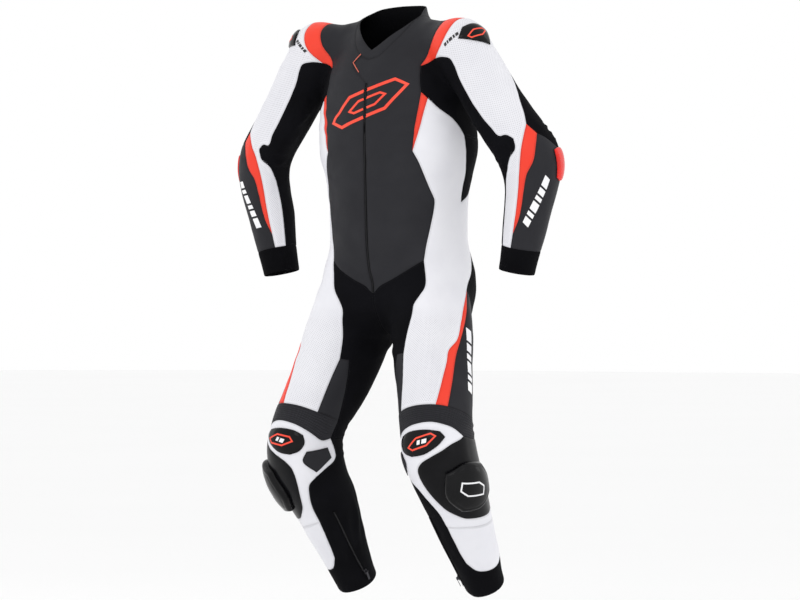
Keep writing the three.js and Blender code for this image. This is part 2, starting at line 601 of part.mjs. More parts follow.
function along(row, t) {
  let total = 0;
  const lengths = [0];
  for (let i = 1; i < row.length; i += 1) {
    total += size(sub(row[i].p, row[i - 1].p));
    lengths.push(total);
  }
  const want = clamp(t, 0, 1) * total;
  let i = 1;
  while (i < row.length - 1 && lengths[i] < want) i += 1;
  const k = total === 0 ? 0 : (want - lengths[i - 1]) / (lengths[i] - lengths[i - 1]);
  return [0, 1, 2].map((c) => mix(row[i - 1].q[c], row[i].q[c], k));
}

function shares(row) {
  const out = [0];
  for (let i = 1; i < row.length; i += 1) out.push(out[i - 1] + size(sub(row[i].p, row[i - 1].p)));
  return out.map((v) => v / (out[out.length - 1] || 1));
}

// One four-sided patch: the seams round it, and a grid between them laid on the form.
// Returns triangles of { p, s, t } with s along the first side and t across.
function patch(rows, chartName, start, sides, step, rowsAcross) {
  const chart = charts[chartName];
  const loop = walk(rows, sides);
  let before = start;
  const quarters = loop.map((points) =>
    points.map((p) => {
      const q = chart.to(p);
      if (chartName !== "flat") {
        q[0] += 360 * Math.round((before - q[0]) / 360);
        before = q[0];
      }
      return { p, q };
    }),
  );
  const lastOf = (i) => quarters[(i + 3) % 4][quarters[(i + 3) % 4].length - 1];
  for (let i = 0; i < 4; i += 1) if (!quarters[i].length) quarters[i] = [lastOf(i), lastOf(i)];
  const [a, b, cBack, dBack] = quarters;
  const c = [...cBack].reverse();
  const d = [...dBack].reverse();
  const long = (row) => row.reduce((sum, v, i) => (i ? sum + size(sub(v.p, row[i - 1].p)) : 0), 0);
  const m = Math.max(1, Math.round((long(a) + long(c)) / 2 / step));
  const n = rowsAcross ?? Math.max(1, Math.round((long(b) + long(d)) / 2 / step));
  const inner = (s, t) => {
    const [bottom, top, left, right] = [along(a, s), along(c, s), along(d, t), along(b, t)];
    const q = [0, 1, 2].map(
      (k) =>
        (1 - t) * bottom[k] + t * top[k] + (1 - s) * left[k] + s * right[k] -
        ((1 - s) * (1 - t) * a[0].q[k] + s * (1 - t) * a[a.length - 1].q[k] +
          s * t * c[c.length - 1].q[k] + (1 - s) * t * c[0].q[k]),
    );
    return { p: settle(chart.from(q)), s, t };
  };
  const edge = [];
  const mark = (row, fn, skipLast) => {
    const share = shares(row);
    row.forEach((v, i) => {
      if (skipLast && i === row.length - 1) return;
      if (edge.length && size(sub(edge[edge.length - 1].p, v.p)) < 1e-6) return;
      edge.push({ p: v.p, ...fn(share[i]) });
    });
  };
  mark(a, (u) => ({ s: u, t: 0, u }), true);
  mark(b, (u) => ({ s: 1, t: u, u: 1 + u }), true);
  mark([...c].reverse(), (u) => ({ s: 1 - u, t: 1, u: 2 + u }), true);
  mark([...d].reverse(), (u) => ({ s: 0, t: 1 - u, u: 3 + u }), true);
  while (edge.length > 3 && size(sub(edge[0].p, edge[edge.length - 1].p)) < 1e-6) edge.pop();
  const faces = [];
  if (m < 2 || n < 2) {
    // a strip: one long side against the rest of the loop
    const wide = n < 2;
    const one = edge.filter((v) => (wide ? v.u <= 1 : v.u >= 1 && v.u <= 2));
    const start2 = edge.indexOf(one[one.length - 1]);
    const other = [];
    for (let i = 0; i <= edge.length - one.length + 1; i += 1) other.push(edge[(start2 + i) % edge.length]);
    other.reverse();
    const key = (v) => (wide ? v.s : v.t);
    let i = 0;
    let j = 0;
    while (i < one.length - 1 || j < other.length - 1) {
      const nextOne = i < one.length - 1 ? key(one[i + 1]) : 9;
      const nextOther = j < other.length - 1 ? key(other[j + 1]) : 9;
      if (nextOne <= nextOther) {
        faces.push([one[i], one[i + 1], other[j]]);
        i += 1;
      } else {
        faces.push([one[i], other[j + 1], other[j]]);
        j += 1;
      }
    }
    return faces.filter(([x, y, z]) => x !== y && y !== z && x !== z);
  }
  const grid = [];
  for (let j = 1; j < n; j += 1) {
    grid.push([]);
    for (let i = 1; i < m; i += 1) grid[j - 1].push(inner(i / m, j / n));
  }
  const w = m - 1;
  const h = n - 1;
  for (let j = 0; j < h - 1; j += 1) {
    for (let i = 0; i < w - 1; i += 1) {
      const [p0, p1, p2, p3] = [grid[j][i], grid[j][i + 1], grid[j + 1][i + 1], grid[j + 1][i]];
      faces.push([p0, p1, p2], [p0, p2, p3]);
    }
  }
  const ring = [];
  const part = (k, count) => (count > 1 ? k / (count - 1) : 0.5);
  for (let i = 0; i < w; i += 1) ring.push({ v: grid[0][i], u: part(i, w) });
  for (let j = 0; j < h; j += 1) ring.push({ v: grid[j][w - 1], u: 1 + part(j, h) });
  for (let i = w - 1; i >= 0; i -= 1) ring.push({ v: grid[h - 1][i], u: 2 + part(w - 1 - i, w) });
  for (let j = h - 1; j >= 0; j -= 1) ring.push({ v: grid[j][0], u: 3 + part(h - 1 - j, h) });
  let i = 0;
  let j = 0;
  const outerAt = (k) => edge[k % edge.length];
  const innerAt = (k) => ring[k % ring.length].v;
  const outerU = (k) => (k >= edge.length ? 4 : edge[k].u);
  const innerU = (k) => (k >= ring.length ? 4.5 : ring[k].u);
  while (i < edge.length || j < ring.length) {
    if (j >= ring.length || (i < edge.length && outerU(i + 1) - 0.001 <= innerU(j + 1))) {
      faces.push([outerAt(i), outerAt(i + 1), innerAt(j)]);
      i += 1;
    } else {
      faces.push([outerAt(i), innerAt(j + 1), innerAt(j)]);
      j += 1;
    }
  }
  return faces.filter(([x, y, z]) => x !== y && y !== z && x !== z);
}

// A closed solid from patches. top and base give how far the two faces lie outside the form.
function solid(patches, top, base, gap = SEAM_GAP) {
  const points = [];
  const found = new Map();
  const index = (v, flip) => {
    const p = flip ? [-v.p[0] || 0, v.p[1], v.p[2]] : v.p;
    const key = p.map((c) => Math.round(c * 1e3)).join();
    if (!found.has(key)) {
      found.set(key, points.length);
      points.push({ p, normal: outward([Math.abs(p[0]), p[1], p[2]]), s: v.s, t: v.t });
      if (p[0] < 0) points[points.length - 1].normal[0] *= -1;
    }
    return found.get(key);
  };
  const faces = [];
  for (const { faces: list, flip } of patches) {
    let facing = 0;
    const own = list
      .map((f) => f.map((v) => index(v, flip)))
      .filter(([a, b, c]) => a !== b && b !== c && a !== c);
    for (const [a, b, c] of own) {
      const n = cross(sub(points[b].p, points[a].p), sub(points[c].p, points[a].p));
      facing += dot(n, add(add(points[a].normal, points[b].normal), points[c].normal));
    }
    for (const [a, b, c] of own) faces.push(facing > 0 ? [a, b, c] : [a, c, b]);
  }
  const edges = new Map();
  for (const [a, b, c] of faces) {
    for (const [x, y] of [[a, b], [b, c], [c, a]]) edges.set(x + "," + y, [x, y]);
  }
  const rim = [...edges.values()].filter(([x, y]) => !edges.has(y + "," + x));
  const shift = points.map(() => [0, 0, 0]);
  for (const [x, y] of rim) {
    const dir = unit(sub(points[y].p, points[x].p));
    for (const k of [x, y]) {
      shift[k] = add(shift[k], unit(cross(points[k].normal, dir)));
    }
  }
  const moved = points.map((v, k) => {
    const l = size(shift[k]);
    return l > 1e-6 ? add(v.p, shift[k], (gap * 2) / Math.max(l * l, 0.02)) : v.p;
  });
  const position = [];
  const push = (p) => position.push(...p);
  points.forEach((v, k) => push(add(moved[k], v.normal, top(v))));
  points.forEach((v, k) => push(add(moved[k], v.normal, base(v))));
  const under = points.length;
  const order = [];
  for (const [a, b, c] of faces) order.push(a, b, c, a + under, c + under, b + under);
  for (const [x, y] of rim) {
    const [ux, uy] = [x + under, y + under];
    if (points[x].p[2] > points[y].p[2]) order.push(y, x, ux, y, ux, uy);
    else order.push(y, x, uy, x, ux, uy);
  }
  return new THREE.BufferGeometry()
    .setAttribute("position", new THREE.Float32BufferAttribute(position, 3))
    .setIndex(order);
}

// Colours.
const finish = (color, roughness) => new THREE.MeshStandardMaterial({ color, roughness, metalness: 0 });
const LEATHER = finish(0x2b2b2e, 0.6);
const STRETCH = finish(0x131316, 0.85);
const WHITE = finish(0xededf2, 0.5);
const RED = finish(0xff4126, 0.5);
const RED_PLATE = finish(0xe8301c, 0.3);
const GLOSS = finish(0x0c0c0e, 0.15);
const ZIP = finish(0x1a1a1c, 0.4);
const METAL = new THREE.MeshStandardMaterial({ color: 0x3a3a3e, roughness: 0.35, metalness: 0.9 });

const suit = new THREE.Group();
suit.name = "race_suit";
function piece(name, geometry, material) {
  geometry.computeVertexNormals();
  const mesh = new THREE.Mesh(geometry, material);
  mesh.name = name;
  suit.add(mesh);
}

// The panels: colour, then patches, each with its way of filling, its first angle and its four sides.
const FRONT_LOW = ["torso", 0, ["chestChord"], ["chestFront", "frontEdge"], ["hipV"], ["centreLow"]];
const PANELS = {
  chest_stripe: [RED, ["torso", 45, ["chestTop"], ["chestSide"], [], ["chestFront"]]],
  side_panel: [WHITE,
    ["torso", 60, ["armholeSide"], ["meshFrontEdge", "sideSeam"], ["hipLine"], ["frontEdge", "chestSide"]],
    ["leg", 30, ["hipLine"], ["redFront"], ["ribTopWhite"], ["patchSide", "whiteInner"]],
    ["torso", 90, ["meshLow"], ["sideRear", "sideLow"], [], ["sideSeam"]]],
  side_stretch: [STRETCH, ["torso", 100, ["armholeUnder"], ["meshRear"], ["meshLow"], ["meshFrontEdge"]]],
  shoulder_stripe: [RED,
    ["flat", 0, ["stripeEnd"], ["stripeOuter"], ["stripeBase"], ["stripeFront", "stripeRear"]]],
  sleeve_outer: [WHITE,
    ["sleeve", 60, ["stripeOuter"], ["whiteHigh"], ["elbowChord"], ["whiteRear", "armholeTop"]],
    ["sleeve", 20, ["elbowChord"], ["whiteLow"], ["wristFront"], ["redDrop", "redInner"]]],
  sleeve_stripe: [RED, ["sleeve", 30, ["redShort"], ["redOuter"], [], ["redInner"]]],
  sleeve_back: [STRETCH,
    ["sleeve", 120, ["armholeHigh"], ["whiteRear"], ["redShort", "elbowSeam"], ["sleeveRearHigh"]]],
  sleeve_inner: [STRETCH,
    ["torso", 50, ["armholeFront", "chestTop"], ["armholeSide", "armholeUnder"], ["armholeRear"],
      ["armpitRear", "armpitFront"]],
    ["sleeve", -60,
      ["stripeBase", "armpitFront", "armpitRear"], ["sleeveRearHigh", "sleeveRearLow"], ["wristRear"],
      ["whiteLow", "whiteHigh"]]],
  forearm_outer: [LEATHER,
    ["sleeve", 60, ["elbowSeam"], ["sleeveRearLow"], ["wristSide"], ["redDrop", "redOuter"]]],
  cuff: [STRETCH,
    ["sleeve", -170,
      ["wristRear", "wristFront", "wristSide"], ["cuffDrop"], ["cuffSide", "cuffFront", "cuffRear"],
      ["cuffDrop"]]],
  thigh_inner: [STRETCH,
    ["leg", -20, ["hipV"], ["whiteInner", "patchTop"], ["innerChord"],
      ["thighHigh", "crotchSeam", "crotchFront", "zipBottomStep"]],
    ["leg", -70, ["innerChord"], ["patchRear", "ribSideInner"], ["kneeRearInner"], ["thighLow"]]],
  thigh_patch: [LEATHER, ["leg", -60, ["patchTop"], ["patchRear"], ["ribTopPatch"], ["patchSide"]]],
  thigh_stripe: [RED, ["leg", 70, [], ["redBack"], ["ribTopRed"], ["redFront"]]],
  thigh_outer: [LEATHER,
    ["leg", 90, ["seatLow"], ["thighHigh", "thighLow"],
      ["kneeRearOuter", "ribSideOuter", "ribTopOuter"], ["redBack"]]],
  knee_frame: [WHITE,
    ["leg", 50, ["ribLow"], ["frameEdge"], ["frameCut"], ["slideTop"]],
    ["leg", -50, ["frameCut"], ["slideFront"], ["frameStep"], ["shinEdgeHigh"]],
    ["leg", -10, ["frameStep"], ["slideBottom"], ["frameBack"], ["shinSeam"]]],
  slider_base: [STRETCH,
    ["leg", 50, ["ribLowOuter"], ["slideRear"], ["slideBottom"], ["slideFront", "slideTop"]]],
  shin_front: [WHITE, ["leg", 0, ["shinSeam"], ["shinRear"], ["shinLow"], ["shinEdge"]]],
  calf: [STRETCH,
    ["leg", 100, ["kneeRearOuter", "kneeRearInner"],
      ["frameEdge", "shinEdgeHigh", "shinEdge", "hemDropInner"], ["hemRear"],
      ["hemDropBack", "shinRear", "frameBack", "slideRear"]],
    ["leg", 0, ["shinLow"], ["hemDropBack"], ["hemFront"], ["hemDropInner"]]],
};
const CENTRE_PANELS = {
  collar: [LEATHER,
    ["torso", 0, ["collarTab", "collarEdge", "collarRear"], ["neckRear"], ["neckEdge"], ["neckV"]]],
  back_panel: [LEATHER,
    ["flat", 0, ["collarRear", "shoulderSeam", "stripeRear"],
      ["stripeEnd", "armholeTop", "armholeHigh", "armholeRear", "meshRear", "sideRear"],
      ["waist"], ["backCentre"]]],
  seat_panel: [STRETCH, ["leg", 180, ["waist"], ["sideLow"], ["seatLow", "crotchSeam"], ["crotchRear"]]],
  front_zip: [ZIP, ["flat", 0, ["zipTopStep"], ["centreLow"], ["zipBottomStep"], ["zipLine"]]],
};
const FRONT_HIGH = ["flat", 0, ["shoulderSeam"], ["stripeFront", "armholeFront"], ["chestChord"]];

const SIDES = { left: 1, right: -1 };
const nets = {};
for (const [label, side] of Object.entries(SIDES)) {
  nets[label] = {
    panels: stitchNet(side, CORNERS, SEAMS, STEP),
    tops: stitchNet(side, TOP_CORNERS, TOP_SEAMS, FINE_STEP),
  };
}
const fill = (label, [way, start, ...sides], step = STEP, rowsAcross = undefined) => ({
  faces: patch(nets[label][step === STEP ? "panels" : "tops"], way, start, sides, step, rowsAcross),
  flip: label === "right",
});
const onForm = () => 0;
const inForm = () => -THICKNESS;

for (const label of Object.keys(SIDES)) {
  for (const [name, [material, ...patches]] of Object.entries(PANELS)) {
    piece(name + "_" + label, solid(patches.map((spec) => fill(label, spec)), onForm, inForm), material);
  }
}
for (const [name, [material, ...patches]] of Object.entries(CENTRE_PANELS)) {
  const halves = Object.keys(SIDES).flatMap((label) => patches.map((spec) => fill(label, spec)));
  piece(name, solid(halves, onForm, inForm), material);
}
// The left front laps to the right above the zip: its tab ends in a point,
// and the right front stops at the tab.
piece("front_panel_left",
  solid([
    fill("left", [...FRONT_HIGH, ["zipTopStep", "centreHigh", "collarTab", "collarEdge"]]),
    fill("left", FRONT_LOW),
    fill("right", ["flat", 0, ["collarTab"], ["tabEdge"], [], ["centreHigh"]]),
  ], onForm, inForm), LEATHER);
piece("front_panel_right",
  solid([
    fill("right", [...FRONT_HIGH, ["zipTopStep", "tabEdge", "collarEdge"]]),
    fill("right", FRONT_LOW),
  ], onForm, inForm), LEATHER);

// The accordion band over the knee: plain inside, ribs raised outside.
const RIBS = 5;
const RIB_HEIGHT = 2.4;
for (const label of Object.keys(SIDES)) {
  const band = fill(label,
    ["leg", -99, ["ribTopPatch", "ribTopWhite", "ribTopRed", "ribTopOuter"], ["ribSideOuter"],
      ["ribLowOuter", "ribLow"], ["ribSideInner"]], STEP, RIBS * 2);
  const within = (v) => v.t > 0 && v.t < 1 && v.s > 0 && v.s < 1;
  const rib = (v) => (within(v) ? RIB_HEIGHT * Math.sin(v.t * RIBS * Math.PI) ** 2 : 0);
  piece("knee_rib_" + label, solid([band], rib, inForm), LEATHER);
}

// Pieces on the panels: the gap under them, thickness at the rim and how far the middle stands out beyond it.
const TOPS = {
  knee_insert: [GLOSS, LIFT, 1.8, 3,
    ["leg", -44, ["insertTop"], ["insertOuter"], ["insertBottom"], ["insertInner"]]],
  knee_side_patch: [LEATHER, 1.2, 1.6, 1,
    ["leg", -50, ["sidePatchTop"], ["sidePatchRear"], ["sidePatchLow"], ["sidePatchFront"]]],
  knee_slider: [GLOSS, LIFT, 5, 13, ["leg", 18, ["domeTop"], ["domeOuter"], ["domeBottom"], ["domeInner"]]],
  shoulder_insert: [GLOSS, SHOULDER_LIFT, 2, 4,
    ["sleeve", 46, ["shoulderEdgeFront"], ["shoulderEdgeLow"], ["shoulderEdgeRear"], ["shoulderEdgeTop"]]],
  elbow_armour: [RED_PLATE, 1.2, 3, 6,
    ["sleeve", 82, ["elbowTop"], ["elbowRear"], ["elbowLow"], ["elbowFrontEdge"]]],
};
const dome = (v) => Math.sqrt(Math.max(16 * v.s * (1 - v.s) * v.t * (1 - v.t), 0));
for (const label of Object.keys(SIDES)) {
  for (const [name, [material, lift, rim, height, spec]] of Object.entries(TOPS)) {
    const top = (v) => lift + rim + height * dome(v);
    piece(name + "_" + label, solid([fill(label, spec, FINE_STEP)], top, () => lift, 0), material);
  }
}

// The zips up the calves.
// A strip on the calf with a slider near its foot. The pull swings on the slider's pin.
// Slider and pull are made lying flat: x across the zip, y down it, z away from the leg.
const ZIP_STRIP = 1.4;
const SLIDER = { angle: -83.5, down: 768, width: 8, length: 12, height: 2.4 };
const LUG = { inner: 2.9, outer: 3.9, length: 4, top: 8.4 };
const PIN = { radius: 0.8, height: 7 };
const EYE = { outer: 1.9, hole: 1.15, width: 5 };
const TAB = { width: 5, length: 21, thickness: 1.2 };

const box = (x0, x1, y0, y1, z0, z1) =>
  Manifold.cube([x1 - x0, y1 - y0, z1 - z0]).translate([x0, y0, z0]);
const rod = (radius, width) =>
  Manifold.cylinder(width, radius, radius, 24, true).rotate([0, 90, 0]).translate([0, 0, PIN.height]);
const zipTop = LIFT + ZIP_STRIP;
const halfWide = SLIDER.width / 2;
const halfLong = SLIDER.length / 2;
const zipBody = box(-halfWide, halfWide, -halfLong, halfLong, zipTop - 0.5, zipTop + SLIDER.height)
  .add(box(LUG.inner, LUG.outer, -LUG.length / 2, LUG.length / 2, zipTop + 1, LUG.top))
  .add(box(-LUG.outer, -LUG.inner, -LUG.length / 2, LUG.length / 2, zipTop + 1, LUG.top))
  .add(rod(PIN.radius, LUG.outer * 2));
const zipPull = rod(EYE.outer, EYE.width)
  .add(box(-TAB.width / 2, TAB.width / 2, 0.5, TAB.length, 0, TAB.thickness)
    .translate([0, 0, PIN.height - TAB.thickness / 2]))
  .subtract(rod(EYE.hole, EYE.width + 2));

function toManifold(geometry) {
  return new Manifold(
    new wasm.Mesh({
      numProp: 3,
      vertProperties: new Float32Array(geometry.attributes.position.array),
      triVerts: new Uint32Array(geometry.index.array),
    }),
  );
}
function toGeometry(shape) {
  const mesh = shape.getMesh();
  const position = [];
  for (let i = 0; i < mesh.numVert; i += 1) {
    position.push(...mesh.vertProperties.slice(i * mesh.numProp, i * mesh.numProp + 3));
  }
  return new THREE.BufferGeometry()
    .setAttribute("position", new THREE.Float32BufferAttribute(position, 3))
    .setIndex([...mesh.triVerts]);
}
for (const [label, side] of Object.entries(SIDES)) {
  const spot = place(["leg", SLIDER.angle, SLIDER.down], side);
  const below = place(["leg", SLIDER.angle, SLIDER.down + 15], side);
  const away = outward(spot);
  const down = unit(sub(sub(below, spot), add([0, 0, 0], away, dot(sub(below, spot), away))));
  const across = cross(down, away);
  const put = (shape) => {
    const there = shape.transform([...across, 0, ...down, 0, ...away, 0, ...spot, 1]);
    return side > 0 ? there : there.mirror([1, 0, 0]);
  };
  const strip = solid(
    [fill(label, ["leg", -69, ["calfTop"], ["calfFront"], ["calfLow"], ["calfRear"]], FINE_STEP)],
    () => zipTop, () => LIFT, 0,
  );
  piece("calf_zip_" + label, toGeometry(toManifold(strip).add(put(zipBody))), ZIP);
  piece("calf_zip_pull_" + label, toGeometry(put(zipPull)), METAL);
}

export default suit;
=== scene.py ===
"""The looks of the race suit: fine panels on the same form and seams as the solids."""
import math

import bpy
import numpy as np
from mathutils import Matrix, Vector
from mathutils.kdtree import KDTree
from mathutils.bvhtree import BVHTree


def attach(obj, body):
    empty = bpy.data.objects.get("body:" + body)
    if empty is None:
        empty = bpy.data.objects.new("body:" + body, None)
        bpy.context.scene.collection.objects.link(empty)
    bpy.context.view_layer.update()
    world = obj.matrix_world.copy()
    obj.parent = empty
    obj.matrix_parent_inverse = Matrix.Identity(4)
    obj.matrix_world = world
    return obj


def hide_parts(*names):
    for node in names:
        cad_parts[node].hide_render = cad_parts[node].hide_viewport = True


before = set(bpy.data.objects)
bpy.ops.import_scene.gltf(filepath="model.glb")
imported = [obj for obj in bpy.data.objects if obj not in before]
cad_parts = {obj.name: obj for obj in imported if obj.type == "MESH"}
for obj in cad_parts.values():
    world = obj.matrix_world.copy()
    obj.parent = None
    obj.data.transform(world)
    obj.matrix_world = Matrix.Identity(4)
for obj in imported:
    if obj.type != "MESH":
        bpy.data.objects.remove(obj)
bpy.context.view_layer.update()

# Sizes in millimetres, in the frame of the solids. +Z is up, the suit faces -Y, its left side is +X.
THICKNESS = 2.5
LIFT = 1
PANEL_STEP = 4.0
TOP_STEP = 2.2
SEAM_STEP = 3.0
FOLD_OUT = 30
HIP_BLEND = 40
MM = 0.001


# The form. The torso is rings by height: reach to the front, side and back, and the y of the widest point.
TORSO = {
  "z": [60, 30, 5, -20, -60, -110, -170, -230, -292, -346, -400, -450, -500, -560, -600],
  "front": [48, 52, 62, 74, 94, 112, 122, 125, 126, 125, 123, 121, 118, 108, 94],
  "side": [62, 64, 70, 84, 122, 158, 176, 186, 187, 172, 160, 157, 158, 158, 150],
  "back": [66, 70, 76, 84, 100, 118, 130, 140, 146, 146, 142, 140, 140, 136, 126],
  "mid": [4, 4, 2, 0, 0, 0, 2, 6, 10, 12, 12, 12, 10, 6, 0],
}

# The limbs are rings by distance down a bent axis, with fuller or flatter corners between the four reaches.
SLEEVE = {
  "joints": [[192, -26, -62], [371, 2, -322], [320, 6, -558]],
  "bend": 80,
  "turn": 0,
  "end": 600,
  "topRing": 0,
  "topDome": 58,
  "down": [-40, 0, 60, 120, 180, 250, 290, 330, 380, 430, 480, 530, 590],
  "front": [60, 62, 64, 65, 65, 63, 61, 58, 55, 51, 47, 43, 40],
  "outer": [58, 60, 60, 58, 57, 60, 68, 68, 59, 54, 49, 44, 42],
  "back": [60, 64, 64, 62, 60, 59, 60, 60, 58, 54, 49, 44, 42],
  "inner": [60, 62, 62, 62, 62, 60, 58, 56, 53, 51, 46, 41, 39],
  "frontOuter": [0, 0, 0, 0, 0, 0, 0, 0, 0, 0, 0, 0, 0],
  "frontInner": [0, 0, 4, 8, 12, 12, 10, 8, 4, 0, 0, 0, 0],
  "backOuter": [0, 0, 0, 0, 0, 2, 6, 6, 2, 0, 0, 0, 0],
  "backInner": [0, 0, 0, 0, -2, -6, -8, -6, -2, 0, 0, 0, 0],
}

LEG = {
  "joints": [[98, 6, -560], [187, -116, -962], [172, 109, -1284]],
  "bend": 105,
  "turn": 17,
  "end": 860,
  "topRing": 40,
  "topDome": 80,
  "down": [-40, 0, 80, 160, 240, 320, 380, 430, 480, 540, 600, 660, 720, 780, 820],
  "front": [78, 82, 86, 85, 82, 81, 84, 90, 86, 74, 66, 60, 54, 49, 47],
  "outer": [68, 70, 80, 86, 84, 82, 80, 80, 80, 77, 71, 64, 56, 48, 46],
  "back": [104, 108, 108, 102, 94, 84, 76, 75, 77, 79, 76, 67, 57, 50, 48],
  "inner": [90, 94, 98, 98, 92, 84, 79, 78, 75, 71, 66, 60, 52, 46, 44],
  "frontOuter": [-12, -14, -14, -14, -14, -8, -2, 3, 4, 2, 0, 0, 0, 0, 0],
  "frontInner": [0, 0, 0, 0, 0, 2, 6, 8, 4, -2, -2, -2, -2, -3, -3],
  "backOuter": [0, 0, -4, -6, -4, -2, 0, 1, 2, 2, 2, 1, 0, 0, 0],
  "backInner": [0, 6, 14, 18, 18, 12, 8, 7, 7, 5, 4, 2, 1, 0, 0],
}

SHOULDER = {"start": [40, 0, -38], "end": [186, -24, -70], "startRadius": 45, "endRadius": 54}
SEAT = {"centre": [80, 52, -600], "radii": [80, 88, 100]}
TORSO_AXIS_Y = 12

# Legs and arms are turned a little to the suit's left in the photo, and so are their seams.
LEG_TWIST = {"down": [0, 100, 200, 280, 345, 400, 440, 520, 600], "degrees": [7, 16, 18, 12, 7, 2, 2, 9, 13]}
SLEEVE_TWIST = {"down": [0, 200, 300], "degrees": [3, 4, 15]}
HIP_TWIST = {"z": [-300, -500], "degrees": [0, 7.5]}
ZIP_HALF = 3
# Where seams meet: a way to name a place, and its two numbers. "top", "front", "back" and "armpit" look along
# an axis, the others look out from the middle of the torso, leg or sleeve, by degrees and height or distance.
CORNERS = {
  "neckFront": ["torso", 0, -71],
  "neckBack": ["torso", 180, 35],
  "collarFront": ["torso", 0, -92],
  "collarBack": ["torso", 180, 2],
  "collarSide": ["top", 79, 4],
  "tabTop": ["front", 25, -85],
  "zipTop": ["torso", 0, -146],
  "zipTopSide": ["front", ZIP_HALF, -146],
  "zipBottom": ["torso", 0, -616],
  "zipBottomSide": ["front", ZIP_HALF, -616],
  "vSide": ["torso", 50, -542],
  "chestLow": ["torso", 44.5, -299],
  "chestHigh": ["torso", 51.5, -168],
  "sideHigh": ["torso", 56.5, -178],
  "shoulderInner": ["top", 158, 6],
  "stripeTip": ["front", 120, -108],
  "stripeFoot": ["sleeve", -46, 1],
  "stripeInnerBack": ["back", 150, -24],
  "stripeOuterBack": ["back", 186, -48],
  "armBackHigh": ["back", 184, -78],
  "armBackLow": ["back", 172, -134],
  "underArmFront": ["torso", 85, -262],
  "underArmBack": ["torso", 122, -250],
  "armpitMid": ["armpit", 190, -4],
  "meshFront": ["torso", 91, -411],
  "meshBack": ["torso", 130, -375],
  "waistSide": ["torso", 126, -478],
  "waistBack": ["torso", 180, -470],
  "hipTip": ["leg", 80, 62],
  "patchFront": ["leg", -51, 218],
  "patchBack": ["leg", -66, 213],
  "ribPatchFront": ["leg", -55, 344],
  "ribInner": ["leg", -99, 352],
  "ribStripeFront": ["leg", 10, 344],
  "ribStripeBack": ["leg", 31, 347],
  "ribOuter": ["leg", 100, 372],
  "kneeInner": ["leg", -94, 397],
  "frameTip": ["leg", 58, 407],
  "kneeOuter": ["leg", 100, 420],
  "kneeBack": ["leg", -140, 394],
  "seatInner": ["leg", -140, 112],
  "crotchBack": ["crotch", 102],
  "innerThigh": ["leg", -140, 213],
  "frameInner": ["leg", -60, 482],
  "slideInner": ["leg", -28, 470],
  "slideLow": ["leg", 0, 562],
  "slideBack": ["leg", 105, 616],
  "shinInner": ["leg", -26, 594],
  "shinBack": ["leg", 105, 642],
  "shinLowInner": ["leg", -17, 704],
  "shinLowBack": ["leg", 100, 745],
  "hemInner": ["leg", -17, 806],
  "hemBack": ["leg", 100, 806],
  "elbowKink": ["sleeve", 3, 262],
  "redTop": ["sleeve", 46, 246],
  "elbowFront": ["sleeve", 55, 270],
  "elbowBack": ["sleeve", -170, 300],
  "redEnd": ["sleeve", -12, 482],
  "wristInner": ["sleeve", -50, 513],
  "wristOuter": ["sleeve", -13, 513],
  "wristBack": ["sleeve", -170, 513],
  "cuffInner": ["sleeve", -50, 568],
  "cuffOuter": ["sleeve", -13, 568],
  "cuffBack": ["sleeve", -170, 568],
}

